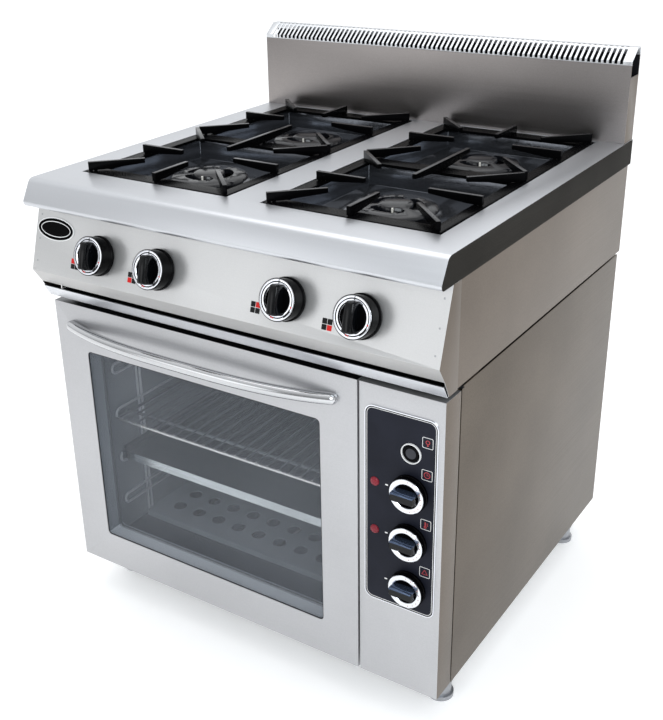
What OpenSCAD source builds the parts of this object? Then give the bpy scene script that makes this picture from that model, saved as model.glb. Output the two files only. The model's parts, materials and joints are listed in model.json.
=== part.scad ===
// Commercial gas range: four open gas burners over an electric oven with a side control column.
// Millimetres, +Z up, +Y towards the wall, +X to the right as the user faces the range.
// The origin lies on the floor, in the middle of the overall width and depth.

/* [Overall] */
// width across the worktop
width = 800; // [780:5:860]
// depth of the worktop, from the wall side to the front nose
depth = 766; // [756:2:800]
// height of the cooking surface above the floor
worktop_h = 850; // [840:5:870]
// height of the flue hood above the cooking surface
flue_h = 168; // [140:2:220]
// depth of the flue hood, front to back
flue_depth = 43; // [40:1:50]
// free height under the body
leg_h = 74; // [64:1:84]
// thickness of the steel panels
sheet = 1.5; // [1:0.1:1.5]

/* [Worktop and grates] */
// drop of the folded worktop edge
lip_drop = 46; // [44:1:50]
// width of each grate opening
opening_w = 316; // [310:1:320]
// length of each grate opening
opening_l = 622; // [620:1:624]
// distance between the centres of the two openings
opening_pitch = 381; // [374:1:390]
// distance between the centres of front and back burner
burner_pitch = 316; // [312:1:320]
// radius of a burner cap
cap_r = 70; // [64:1:72]
// thickness of a grate finger
finger_t = 7; // [5:0.5:8]
// height of the grate fingers above the worktop
finger_h = 16; // [15:0.5:18]

/* [Controls] */
// distance between the two knobs of a pair
gas_knob_pitch = 130; // [124:1:136]
// radius of the gas knob skirt
gas_knob_r = 34; // [30:1:36]
// distance between the oven knobs
oven_knob_pitch = 87.5; // [84:0.5:90]
// radius of the oven knobs
oven_knob_r = 31; // [28:1:33]
// push-in travel of a gas knob
push_travel = 4; // [2:0.5:4]
// travel of the light button
button_travel = 3; // [2:0.5:3]

/* [Oven] */
// width of the oven cavity
cavity_w = 540; // [530:5:550]
// height of the oven cavity
cavity_h = 433; // [425:1:440]
// depth of the oven cavity
cavity_d = 560; // [520:10:570]
// thickness of the oven door
door_t = 40; // [38:1:42]
// forward bow of the door handle
handle_bow = 38; // [34:1:42]
// radius of the handle tube
handle_r = 10; // [8:0.5:10.5]
// half the length of the door handle, to its tips
handle_half = 285; // [270:5:290]

/* [Flue grille] */
// distance between the slots
slot_pitch = 10.1; // [9:0.1:14]
// width of a slot
slot_w = 5.8; // [3:0.1:6]

/* [Hidden] */
$fn = 48;
eps = 0.5;
part_gap = 0.3;

// ---- main planes -------------------------------------------------------------------------
lean = 17.1;
knob_face = 33;
grip_h = 14;
grip_half = 25;
crest_half = grip_half - 2.5;
fascia_low = [1, -160.5];
knob_up = 50;
// how far the crest of a grip bar stands in front of the worktop nose
knob_reach = (knob_face + grip_h) * cos(lean) + (crest_half - knob_up) * sin(lean) - fascia_low.x;
overall_d = depth + knob_reach;
y_back = overall_d / 2;
y_nose = y_back - depth;
y_door = y_nose + 36.5;
y_flue = y_back - flue_depth;
y_panel_back = y_back - 8;
z_work = worktop_h;
z_lip = z_work - lip_drop;
z_upper = z_work - 216;
z_lower = z_work - 224;
half = width / 2;
body_half = half - 5.3;
y_frame = y_door + door_t + 8;
frame_t = 3;
lip_t = 2;

// ---- openings, burners, knobs --------------------------------------------------------------
opening_x = [-opening_pitch / 2, opening_pitch / 2];
opening_y = y_nose + 406;
burner_x = [opening_x[0], opening_x[0], opening_x[1], opening_x[1]];
burner_y = [for (side = [1, -1, 1, -1]) opening_y + side * burner_pitch / 2];
left_pair = -178;
right_pair = 204;
gas_x = [left_pair - gas_knob_pitch / 2, left_pair + gas_knob_pitch / 2,
         right_pair - gas_knob_pitch / 2, right_pair + gas_knob_pitch / 2];
gas_y = y_nose + fascia_low.x + knob_up * sin(lean);
gas_z = z_work + fascia_low.y + knob_up * cos(lean);

// ---- column and oven door ------------------------------------------------------------------
door_right = 244.8;
door_left = -body_half + 1.2;
door_x = (door_left + door_right) / 2;
door_low = leg_h + 1;
door_top = z_lower - 5;
handle_z = z_lower - 45.5;
column_left = door_right + 3.8;
insert_x = 322;
insert_w = 126;
insert_low = 234;
insert_top = 587;
insert_t = 2;
control_x = 340.4;
knob_z = [for (k = [0, 1, 2]) 455.5 - k * oven_knob_pitch];
button_z = 523.5;
button_r = 13.5;
lamp_x = 277.3;
window_w = 500;
window_low = 144;
window_top = 534.5;
cavity_low = 112;
cavity_top = cavity_low + cavity_h;
y_cavity = y_frame + frame_t;
rail_base = 180.5;
rail_pitch = 95;
rail_gap = 20;
wire_r = 2.5;

// ---- hinge ---------------------------------------------------------------------------------
hinge_y = y_door + 15;
hinge_z = door_low + 14;
hinge_x = [door_left + 30, door_right - 30];
pin_r = 4;
fit = 0.05;

// ---- helpers ---------------------------------------------------------------------------------

// a box given by its lowest and highest corner
module box(low, high) {
    translate(low) cube(high - low);
}

// a round rod between two points
module rod(from, to, r) {
    run = to - from;
    translate(from)
        rotate([0, acos(run.z / norm(run)), atan2(run.y, run.x)])
            cylinder(h = norm(run), r = r);
}

// a rod through several points, with a ball of radius elbow_r at each bend
module bent_rod(points, r, elbow_r) {
    for (i = [1 : len(points) - 1]) rod(points[i - 1], points[i], r);
    for (i = [1 : len(points) - 2]) translate(points[i]) sphere(elbow_r);
}

// points on an arc
function arc(centre, r, from, to, steps) =
    [for (i = [0 : steps]) centre + r * [cos(from + (to - from) * i / steps),
                                         sin(from + (to - from) * i / steps)]];

// unit normal to the left of the step from a to b
function left_normal(a, b) = [a.y - b.y, b.x - a.x] / norm(b - a);

// a path moved sideways by t, mitred at its corners
function shifted(path, t) = [
    for (i = [0 : len(path) - 1])
        let (before = left_normal(path[max(i - 1, 0)], path[max(i, 1)]),
             after = left_normal(path[min(i, len(path) - 2)], path[min(i + 1, len(path) - 1)]))
            path[i] + t * (before + after) / (1 + before * after)
];

// outline of a folded sheet of thickness t to the left of a path
function folded(path, t) = concat(path, [for (i = [len(path) - 1 : -1 : 0]) shifted(path, t)[i]]);

// an outline in Y and Z, extruded across X
module across(from, to) {
    translate([from, 0, 0]) rotate([90, 0, 90]) linear_extrude(to - from) children();
}

// the frame of one gas knob: +Z leaves the fascia, +Y runs up it
module at_gas(i) {
    translate([gas_x[i], gas_y, gas_z]) rotate([90 - lean, 0, 0]) children();
}

// the frame of a control on the column: +Z leaves the front
module at_column(x, z) {
    translate([x, y_door, z]) rotate([90, 0, 0]) children();
}

// a rectangle with round corners, in Z from 0 to h
module round_plate(w, l, r, h) {
    linear_extrude(h) polygon(concat(
        arc([w / 2 - r, l / 2 - r], r, 0, 90, 6), arc([r - w / 2, l / 2 - r], r, 90, 180, 6),
        arc([r - w / 2, r - l / 2], r, 180, 270, 6), arc([w / 2 - r, r - l / 2], r, 270, 360, 6)));
}

// ---- lower body ------------------------------------------------------------------------------
foot_x = body_half - 40;
foot_y = [y_door + 95, y_back - 78];
sleeve_low = 32;
gland = [half - 110, 150];
gland_r = 11;
sleeve_r = 21;
stem_r = 15;

// bottom sheet, turned up at the sides and back, with the four leg sleeves
module base_frame() {
    upstand = 30;
    color([0.55, 0.55, 0.55]) difference() {
        union() {
            box([-body_half + sheet, y_frame + frame_t, leg_h],
                [body_half - sheet, y_panel_back - sheet, leg_h + 2]);
            difference() {
                box([-body_half + sheet, y_frame + frame_t, leg_h],
                    [body_half - sheet, y_panel_back - sheet, leg_h + upstand]);
                box([-body_half + sheet + 2, y_frame, leg_h - 1],
                    [body_half - sheet - 2, y_panel_back - sheet - 2, leg_h + upstand + 1]);
            }
            for (x = [-foot_x, foot_x], y = foot_y)
                translate([x, y, sleeve_low]) cylinder(h = leg_h - sleeve_low + 1, r = sleeve_r);
        }
        for (x = [-foot_x, foot_x], y = foot_y)
            translate([x, y, sleeve_low - 1]) cylinder(h = leg_h, r = stem_r + fit);
    }
}

module foot(x, y) {
    pad_h = 8;
    color([0.62, 0.62, 0.62]) translate([x, y, 0]) {
        cylinder(h = pad_h, r = 23);
        translate([0, 0, pad_h]) cylinder(h = sleeve_low - pad_h - 1, r = 19);
        cylinder(h = sleeve_low + 46, r = stem_r);
    }
}

module back_panel() {
    color([0.66, 0.66, 0.66]) difference() {
        box([-body_half + sheet, y_panel_back - sheet, leg_h], [body_half - sheet, y_panel_back, z_lower]);
        translate([gland.x, y_panel_back, gland.y]) rotate([90, 0, 0])
            translate([0, 0, -5]) cylinder(h = 10, r = gland_r + 0.5);
    }
}

// side panel with the top flange that carries the upper casing
module side_panel(side, y_front) {
    outer = side * body_half;
    inner = side * (body_half - sheet);
    flange = side * (body_half - 26);
    color([0.60, 0.57, 0.53]) {
        box([min(outer, inner), y_front, leg_h], [max(outer, inner), y_panel_back, z_lower]);
        box([min(inner, flange), y_cavity, z_lower - sheet],
            [max(inner, flange), y_panel_back - sheet, z_lower]);
    }
}

module side_panel_left() {
    side_panel(-1, y_frame);
}

module side_panel_right() {
    side_panel(1, y_frame + 3.5);
}

module oven_front_frame() {
    color([0.62, 0.62, 0.62]) difference() {
        box([-body_half + sheet, y_frame, leg_h], [column_left + sheet, y_cavity, z_lower]);
        box([door_x - cavity_w / 2, y_frame - 1, cavity_low],
            [door_x + cavity_w / 2, y_cavity + 1, cavity_top]);
    }
}

module column_cover() {
    path = [[column_left, y_frame], [column_left, y_door], [body_half, y_door], [body_half, y_frame]];
    color([0.78, 0.78, 0.77]) difference() {
        union() {
            translate([0, 0, door_low]) linear_extrude(door_top - door_low) polygon(folded(path, sheet));
            for (z = [door_low, door_top - sheet])
                box([column_left + 1, y_door + 1, z], [body_half - 1, y_frame, z + sheet]);
        }
        box([insert_x - insert_w / 2 + 6, y_door - 1, insert_low + 8],
            [insert_x + insert_w / 2 - 6, y_door + 3, insert_top - 8]);
    }
}

module control_insert() {
    shaft_hole_r = 4.5;
    lamp_hole_r = 6;
    bezel_r = 17;
    corner_r = 15;
    insert_h = insert_top - insert_low;
    color([0.13, 0.13, 0.16]) difference() {
        union() {
            at_column(insert_x, (insert_low + insert_top) / 2)
                round_plate(insert_w, insert_h, corner_r, insert_t);
            at_column(control_x, button_z) cylinder(h = insert_t + 3, r = bezel_r);
        }
        for (z = knob_z) at_column(control_x, z)
            translate([0, 0, -1]) cylinder(h = 9, r = shaft_hole_r);
        for (z = [knob_z[0], knob_z[1]]) at_column(lamp_x, z)
            translate([0, 0, -1]) cylinder(h = 9, r = lamp_hole_r);
        at_column(control_x, button_z) translate([0, 0, -1]) cylinder(h = 9, r = button_r + 0.4);
    }
}

module indicator_lamps() {
    for (z = [knob_z[0], knob_z[1]]) color([0.75, 0.15, 0.17]) at_column(lamp_x, z) {
        translate([0, 0, -12]) cylinder(h = 12 + insert_t, r = 5.9);
        translate([0, 0, insert_t]) cylinder(h = 2.4, r = 7.9);
        translate([0, 0, insert_t + 2.4]) cylinder(h = 1, r1 = 7.9, r2 = 5.5);
    }
}

// bodies of the light switch, timer, thermostat and mode switch behind the column
module control_units() {
    shaft_r = 3;
    color([0.85, 0.85, 0.80]) {
        for (z = knob_z) difference() {
            at_column(control_x, z) translate([-22, -22, -52]) cube([44, 44, 44]);
            at_column(control_x, z) translate([0, 0, -35]) cylinder(h = 40, r = shaft_r + fit);
        }
        at_column(control_x, button_z) translate([-15, -15, -52]) cube([30, 30, 34]);
    }
    // mounting rail that holds the four units inside the column
    color([0.6, 0.6, 0.6]) at_column(control_x, 0)
        translate([-28, knob_z[2] - 26, -54]) cube([56, button_z - knob_z[2] + 50, 2]);
}

// oven control knob: dished face, grip bar across it, shaft behind
module oven_knob(z) {
    base = insert_t + 1;
    face = 17;
    color([0.07, 0.07, 0.08]) at_column(control_x, z) rotate([0, 0, 90]) {
        knob_body(oven_knob_r, oven_knob_r - 1, base, face, 22);
        translate([0, 0, -30]) cylinder(h = 30 + base + 4, r = 3);
        grip_bar(22, face - 5, face + 12, 13);
    }
}

// dished knob: skirt, rim and recessed face
module knob_body(r_base, r_face, low, face, r_dish) {
    dish = 6;
    rotate_extrude() polygon([
        [0, low], [r_base, low], [r_face, face - 2], [r_face - 1.5, face],
        [r_dish + 1, face], [r_dish, face - dish], [0, face - dish]]);
}

// upright grip bar with chamfered ends
module grip_bar(reach, low, high, w) {
    chamfer = grip_half - crest_half;
    rotate([90, 0, 90]) translate([0, 0, -w / 2]) linear_extrude(w)
        polygon([[-reach, low], [reach, low], [reach, high - chamfer], [reach - chamfer, high],
                 [chamfer - reach, high], [-reach, high - chamfer]]);
}

module timer_knob() {
    oven_knob(knob_z[0]);
}

module thermostat_knob() {
    oven_knob(knob_z[1]);
}

module mode_knob() {
    oven_knob(knob_z[2]);
}

module light_button() {
    color([0.2, 0.2, 0.22]) at_column(control_x, button_z) {
        translate([0, 0, -2]) cylinder(h = 7, r = button_r);
        translate([0, 0, -14]) cylinder(h = 13, r = 4);
    }
}

// ---- oven ------------------------------------------------------------------------------------
cavity_left = door_x - cavity_w / 2;
cavity_right = door_x + cavity_w / 2;
y_cavity_back = y_cavity + cavity_d;

// box open at the front
module open_box(low, high, t) {
    difference() {
        box(low - [t, 0, t], high + [t, t, t]);
        box(low - [0, 1, 0], high);
    }
}

module oven_liner() {
    color([0.45, 0.47, 0.50])
        open_box([cavity_left, y_cavity, cavity_low], [cavity_right, y_cavity_back, cavity_top], sheet);
}

module oven_insulation() {
    inner_low = [cavity_left - sheet, y_cavity, cavity_low - sheet];
    inner_high = [cavity_right + sheet, y_cavity_back + sheet, cavity_top + sheet];
    color([0.85, 0.80, 0.62]) open_box(inner_low, inner_high, 30);
}

// two wire ladders with hairpin rails at four heights
module rack_guides() {
    front = y_cavity + 17;
    back = y_cavity_back - 40;
    for (side = [-1, 1]) color([0.72, 0.73, 0.74]) {
        x = door_x + side * (cavity_w / 2 - wire_r - 4);
        post_x = door_x + side * (cavity_w / 2 - wire_r - 0.2);
        for (y = [y_cavity + 85, y_cavity + 94, back - 74, back - 65])
            translate([post_x, y, cavity_low]) cylinder(h = cavity_h, r = wire_r);
        for (level = [0 : 3]) {
            z = rail_base + level * rail_pitch;
            for (dz = [-rail_gap / 2, rail_gap / 2])
                rod([x, front + rail_gap / 2, z + dz], [x, back, z + dz], wire_r);
            translate([x, front + rail_gap / 2, z]) rotate([0, 90, 0])
                rotate([0, 0, 180]) rotate_extrude(angle = 180) translate([rail_gap / 2, 0]) circle(wire_r);
        }
    }
}

// perforated plate over the lower heating element
module floor_plate() {
    front = y_cavity + 74;
    hole_pitch = 50;
    rows = 9;
    side_gap = 7;
    color([0.50, 0.53, 0.56]) difference() {
        union() {
            box([cavity_left + side_gap, front, cavity_low + 11],
                [cavity_right - side_gap, y_cavity_back, cavity_low + 11 + sheet]);
            box([cavity_left + side_gap, front, cavity_low],
                [cavity_right - side_gap, front + sheet, cavity_low + 12]);
        }
        for (i = [-4 : 5], j = [0 : rows - 1])
            translate([door_x - 15 + i * hole_pitch, front + 48 + j * hole_pitch, cavity_low + 5])
                cylinder(h = 20, r = 14);
    }
}

// one serpentine heating rod at height z
module heater(z) {
    r = 4;
    bend = 35;
    front = y_cavity + 122;
    back = y_cavity_back - 70;
    first = door_x - 5 * bend;
    for (i = [0 : 5]) {
        x = first + i * 2 * bend;
        last = (i == 0 || i == 5) ? y_cavity_back : back;
        rod([x, front, z], [x, last, z], r);
    }
    for (i = [0, 2, 4]) translate([first + (2 * i + 1) * bend, front, z])
        rotate([0, 0, 180]) rotate_extrude(angle = 180) translate([bend, 0]) circle(r);
    for (i = [1, 3]) translate([first + (2 * i + 1) * bend, back, z])
        rotate_extrude(angle = 180) translate([bend, 0]) circle(r);
}

module heating_elements() {
    color([0.30, 0.28, 0.27]) {
        heater(cavity_low + 5);
        heater(cavity_top - 16);
    }
}

// seal round the oven mouth, just clear of the closed door
module door_seal() {
    w = 10;
    thick = y_frame - y_door - door_t - part_gap;
    color([0.16, 0.16, 0.17]) difference() {
        box([cavity_left - w - 4, y_frame - thick, cavity_low - 8],
            [cavity_right + w + 4, y_frame, cavity_top + w + 4]);
        box([cavity_left - 4, y_frame - thick - 1, cavity_low - 1],
            [cavity_right + 4, y_frame + 1, cavity_top + 4]);
    }
}

module oven_light() {
    color([0.90, 0.88, 0.80]) translate([door_x + 190, y_cavity_back, cavity_top - 60]) rotate([90, 0, 0]) {
        cylinder(h = 6, r = 24);
        translate([0, 0, 6]) cylinder(h = 14, r1 = 20, r2 = 12);
    }
}

// wire shelf: a round frame between the guides, two cross rods that rest on their lower wires, and thin rods
module oven_shelf() {
    frame_r = 3;
    thin_r = 1.75;
    z = rail_base + 2 * rail_pitch - rail_gap / 2 + wire_r + frame_r + part_gap;
    guide_in = 2 * wire_r + 4;
    left = cavity_left + guide_in + frame_r + eps;
    right = cavity_right - guide_in - frame_r - eps;
    front = y_cavity + 13;
    back = y_cavity_back - 60;
    rest_y = [y_cavity + 50, back - 20];
    rest_end = 6;
    rod_pitch = 23.5;
    color([0.75, 0.76, 0.77]) {
        bent_rod([[left, front, z], [right, front, z], [right, back, z], [left, back, z],
                  [left, front, z], [right, front, z]], frame_r, frame_r);
        for (y = rest_y)
            rod([cavity_left + rest_end, y, z], [cavity_right - rest_end, y, z], frame_r);
        for (i = [1 : floor((right - left) / rod_pitch)])
            rod([left + i * rod_pitch, front, z + frame_r], [left + i * rod_pitch, back, z + frame_r], thin_r);
    }
}

// shallow baking tray that hangs by its rim on the second rail
module baking_tray() {
    rim_z = rail_base + rail_pitch + rail_gap / 2 + wire_r + part_gap;
    rim_up = 9;
    depth_down = 8;
    wall = 14;
    rim = 6;
    t = 1.2;
    rim_back = 12;
    front = y_cavity + 14.5;
    back = front + 470;
    color([0.80, 0.83, 0.86]) difference() {
        union() {
            box([cavity_left + wall, front, rim_z - depth_down], [cavity_right - wall, back, rim_z + rim_up]);
            box([cavity_left + rim, front + rim_back, rim_z], [cavity_right - rim, back, rim_z + rim_up]);
        }
        box([cavity_left + wall + t, front + t, rim_z - depth_down + t],
            [cavity_right - wall - t, back - t, rim_z + rim_up + 1]);
        box([cavity_left + rim + t, front + rim_back + t, rim_z + t],
            [cavity_right - rim - t, back - t, rim_z + rim_up + 1]);
    }
}

// ---- oven door -------------------------------------------------------------------------------
glass_t = 4;

// the space that the hinge arm needs inside the door
module hinge_notch() {
    for (x = hinge_x) box([x - 16, hinge_y - 9, door_low - 1], [x + 16, y_frame - 1, hinge_z + 13]);
}

module window(y_from, y_to, grow) {
    mid_z = (window_low + window_top) / 2;
    translate([door_x, y_to, mid_z]) rotate([90, 0, 0])
        round_plate(window_w + 2 * grow, window_top - window_low + 2 * grow, 8, y_to - y_from);
}

module door_skin() {
    color([0.78, 0.78, 0.77]) difference() {
        box([door_left, y_door, door_low], [door_right, y_door + door_t - 2, door_top]);
        box([door_left + sheet, y_door + sheet, door_low + sheet],
            [door_right - sheet, y_door + door_t, door_top - sheet]);
        window(y_door - 1, y_door + 3, 0);
        hinge_notch();
    }
}

module door_liner() {
    y_face = y_door + door_t;
    color([0.60, 0.61, 0.62]) difference() {
        union() {
            box([door_left, y_face - 2, door_low], [door_right, y_face, door_top]);
            // tube around the window that keeps the two panes apart
            difference() {
                window(y_door + sheet + glass_t, y_face - 1, 6);
                window(y_door, y_face, 4.5);
            }
        }
        window(y_door, y_face + 1, 0);
        hinge_notch();
    }
}

// outer and inner pane
module door_glass() {
    color([0.55, 0.60, 0.64, 0.4]) {
        window(y_door + sheet, y_door + sheet + glass_t, 20);
        window(y_door + door_t - 2 - glass_t, y_door + door_t - 2, 4.3);
    }
}

// bowed tube, flat in the middle and steeper towards its ends, where its round tips meet the door
module door_handle() {
    rings = 56;
    sides = 20;
    sunk = 2;
    // the tip is drawn in over one tube radius and keeps a small blunt end
    tip = handle_r / handle_half;
    blunt = 0.94;
    across_bow = [for (i = [0 : rings]) sin(90 * (2 * i / rings - 1))];
    points = [for (u = across_bow, k = [0 : sides - 1])
        let (slope = atan(3 * handle_bow / handle_half * u * abs(u)),
             drawn_in = max(0, (abs(u) - 1 + tip) / tip),
             r = handle_r * sqrt(1 - blunt * pow(drawn_in, 2)),
             out = r * cos(360 * k / sides))
            [door_x + handle_half * u + out * sin(slope),
             y_door - sunk - (handle_bow - sunk) * (1 - pow(abs(u), 3)) - out * cos(slope),
             handle_z + r * sin(360 * k / sides)]];
    walls = [for (i = [0 : rings - 1], k = [0 : sides - 1])
        let (next = (k + 1) % sides)
            [i * sides + k, i * sides + next, (i + 1) * sides + next, (i + 1) * sides + k]];
    ends = [[for (k = [sides - 1 : -1 : 0]) k], [for (k = [0 : sides - 1]) rings * sides + k]];
    color([0.85, 0.85, 0.85]) difference() {
        polyhedron(points, concat(walls, ends));
        box([door_left, y_door, handle_z - 2 * handle_r], [door_right, y_door + door_t, handle_z + 2 * handle_r]);
    }
}

// two pairs of ears inside the door that turn on the hinge pins
module door_hinge_ears() {
    color([0.55, 0.55, 0.55]) for (x = hinge_x, side = [-1, 1]) difference() {
        translate([x + side * 9.5 - 2, 0, 0])
            box([0, hinge_y - 8, door_low + sheet], [4, y_door + door_t - 2, hinge_z + 30]);
        translate([x + side * 9.5 - 3, hinge_y, hinge_z]) rotate([0, 90, 0]) cylinder(h = 6, r = pin_r + fit);
    }
}

// arms fixed to the front frame, each with its riveted pin
module hinge_brackets() {
    arm = 6;
    color([0.50, 0.50, 0.50]) for (x = hinge_x) {
        box([x - 6, hinge_y, hinge_z - arm], [x + 6, y_frame, hinge_z + arm]);
        translate([x - 6, hinge_y, hinge_z]) rotate([0, 90, 0]) cylinder(h = 12, r = arm);
        translate([x - 12, hinge_y, hinge_z]) rotate([0, 90, 0]) cylinder(h = 24, r = pin_r);
        box([x - 14, y_frame - 2.5, hinge_z - 10], [x + 14, y_frame, hinge_z + 10]);
    }
}

// ---- upper body ------------------------------------------------------------------------------

// bright slanted rail under the fascia: it stands on the oven front frame and leans like the fascia's foot
module top_rail() {
    strip = [-14, 22.5];
    turn_in = [4, 0];
    low = [y_door - 3.5, z_upper - 2];
    high = low + strip;
    step_y = y_frame - 4;
    path = [high + turn_in, high, low, [step_y, low.y], [step_y, z_lower], [y_cavity, z_lower]];
    color([0.80, 0.81, 0.82]) across(sheet + eps - half, half - sheet - eps) polygon(folded(path, sheet));
}

// sides and back of the burner box, on four pads
module upper_casing() {
    outer = half - lip_t;
    front = y_nose + 61;
    flange = 24;
    pad = [15, 40];
    color([0.60, 0.57, 0.53]) {
        difference() {
            box([-outer, front, z_upper], [outer, y_panel_back, z_work - lip_t]);
            box([-outer + sheet, front - 1, z_upper - 1], [outer - sheet, y_panel_back - sheet, z_work + 1]);
            translate([inlet_x, y_panel_back, inlet_z]) rotate([90, 0, 0])
                translate([0, 0, -5]) cylinder(h = 10, r = inlet_r + 1.5);
        }
        for (side = [-1, 1]) {
            inner = side * (outer - sheet);
            edge = side * (outer - flange);
            box([min(inner, edge), y_cavity, z_upper], [max(inner, edge), y_panel_back - sheet, z_upper + sheet]);
        }
        for (x = [6 - outer, outer - 6 - pad.x], y = [y_cavity + 20, y_panel_back - 80])
            box([x, y, z_lower], [x + pad.x, y + pad.y, z_upper]);
    }
}

fascia_corner = [y_nose + fascia_low.x, z_work + fascia_low.y];
fascia_path = [fascia_corner + (z_lip - fascia_corner.y) * [tan(lean), 1], fascia_corner,
               fascia_corner + [18, -27]];

// leaning front with a chamfered foot, closed by a cheek at each end
module fascia() {
    hole_r = 11;
    cheek = concat(fascia_path, [[y_nose + 33.5, z_upper], [y_nose + 60.5, z_upper], [y_nose + 60.5, z_lip]]);
    color([0.80, 0.80, 0.79]) {
        difference() {
            across(-half, half) polygon(folded(fascia_path, sheet));
            for (i = [0 : 3]) at_gas(i) translate([0, 0, -5]) cylinder(h = 10, r = hole_r);
        }
        for (x = [-half, half - sheet]) across(x, x + sheet) polygon(cheek);
    }
}

// plain oval badge near the left end of the fascia
module badge() {
    oval = [40.5, 17];
    corner_up = 78;
    color([0.06, 0.06, 0.07]) translate([-352.7, fascia_corner.x, fascia_corner.y]) rotate([90 - lean, 0, 0])
        translate([0, corner_up, 0]) linear_extrude(2)
            polygon([for (a = [0 : 7.5 : 352.5]) [oval.x * cos(a), oval.y * sin(a)]]);
}

// folded worktop with one opening over each pair of burners
module worktop() {
    nose_r = 8;
    shoulder_r = 14;
    nose = arc([y_nose + nose_r, z_lip + nose_r], nose_r, 160, 270, 6);
    corner = [y_nose + 20, z_work];
    joint_y = corner.x + 40;
    turn = atan2(corner.y - nose[0].y, corner.x - nose[0].x);
    shoulder = arc(corner + shoulder_r * [tan(turn / 2), -1], shoulder_r, 90, 90 + turn, 5);
    lip = concat([[joint_y, z_work]], shoulder, nose, [[y_nose + 36, z_lip]]);
    cheek = concat([for (i = [1 : len(lip) - 1]) lip[i]], [[y_back, z_lip], [y_back, z_work]]);
    color([0.80, 0.81, 0.82]) {
        difference() {
            box([-half, joint_y - eps, z_work - lip_t], [half, y_back, z_work]);
            for (x = opening_x)
                box([x - opening_w / 2, opening_y - opening_l / 2, z_work - 5],
                    [x + opening_w / 2, opening_y + opening_l / 2, z_work + 1]);
        }
        across(-half, half) polygon(folded(lip, lip_t));
        for (x = [-half, half - lip_t]) across(x, x + lip_t) polygon(cheek);
    }
}

flue_half = half - 1.5;
flue_side_top = z_work + flue_h - 49;
cap_low = z_work + flue_h - 28;

// plain hood behind the burners, open at the upper part of each end
module flue_duct() {
    color([0.72, 0.71, 0.69]) {
        box([-flue_half, y_flue, z_work], [flue_half, y_flue + sheet, cap_low]);
        box([-flue_half, y_back - sheet, z_work], [flue_half, y_back, z_work + flue_h - 14]);
        for (x = [-flue_half, flue_half - sheet])
            box([x, y_flue + sheet, z_work], [x + sheet, y_back - sheet, flue_side_top]);
    }
}

// slotted cap: short upright foot, slope, and a level top
module flue_cap() {
    top = z_work + flue_h;
    slope_y = y_flue + 27;
    bridge = [24, 26.5];
    slot_back = 33;
    margin = 19;
    slots = floor((2 * flue_half - 2 * margin) / slot_pitch);
    path = [[y_flue, cap_low], [y_flue, top - 21], [slope_y, top], [y_back, top], [y_back, top - 14]];
    color([0.83, 0.83, 0.82]) difference() {
        across(-flue_half, flue_half) polygon(folded(path, -sheet));
        for (i = [0 : slots]) {
            x = (i - slots / 2) * slot_pitch;
            box([x - slot_w / 2, y_flue - 1, cap_low + 1.5], [x + slot_w / 2, y_flue + bridge[0], top + 1]);
            box([x - slot_w / 2, y_flue + bridge[1], top - 8], [x + slot_w / 2, y_flue + slot_back, top + 1]);
        }
    }
}

// ---- burners ---------------------------------------------------------------------------------
pan_floor = z_work - 40;
pan_t = 1.5;
ledge_z = z_work - 5 - part_gap;
ledge_w = 22;
head_top = z_work - 34;

// one pressed pan per opening: a ledge for the grate and a well for each burner
module drip_pans() {
    flange = 10;
    divider = 30;
    for (k = [0, 1]) color([0.09, 0.09, 0.10]) difference() {
        union() {
            rect_ring(opening_x[k], opening_w + 2 * flange, opening_l + 2 * flange,
                      opening_w, opening_l, z_work - lip_t - pan_t, z_work - lip_t);
            rect_ring(opening_x[k], opening_w, opening_l, opening_w - 2 * pan_t, opening_l - 2 * pan_t,
                      ledge_z - pan_t, z_work - lip_t);
            box([opening_x[k] - opening_w / 2, opening_y - opening_l / 2, pan_floor - pan_t],
                [opening_x[k] + opening_w / 2, opening_y + opening_l / 2, ledge_z]);
        }
        for (side = [-1, 1]) well(opening_x[k], side, divider, 0, pan_floor, ledge_z + 1);
        // hollow underside, so that the pan is a thin pressing
        difference() {
            box([opening_x[k] - opening_w / 2 - 1, opening_y - opening_l / 2 - 1, pan_floor - pan_t - 1],
                [opening_x[k] + opening_w / 2 + 1, opening_y + opening_l / 2 + 1, ledge_z - pan_t]);
            for (side = [-1, 1])
                well(opening_x[k], side, divider, pan_t, pan_floor - pan_t, ledge_z + 1);
        }
        for (side = [-1, 1]) translate([opening_x[k], opening_y + side * burner_pitch / 2, pan_floor - 9])
            cylinder(h = 20, r = 58);
    }
}

// the space of one burner well, grown outwards by grow
module well(x, side, divider, grow, low, high) {
    near = opening_y + side * (divider / 2 - grow);
    far = opening_y + side * (opening_l / 2 - ledge_w + grow);
    box([x - opening_w / 2 + ledge_w - grow, min(near, far), low],
        [x + opening_w / 2 - ledge_w + grow, max(near, far), high]);
}

// flat rectangular ring centred on an opening
module rect_ring(x, w, l, hole_w, hole_l, low, high) {
    difference() {
        box([x - w / 2, opening_y - l / 2, low], [x + w / 2, opening_y + l / 2, high]);
        box([x - hole_w / 2, opening_y - hole_l / 2, low - 1], [x + hole_w / 2, opening_y + hole_l / 2, high + 1]);
    }
}

stub_low = 722;

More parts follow.
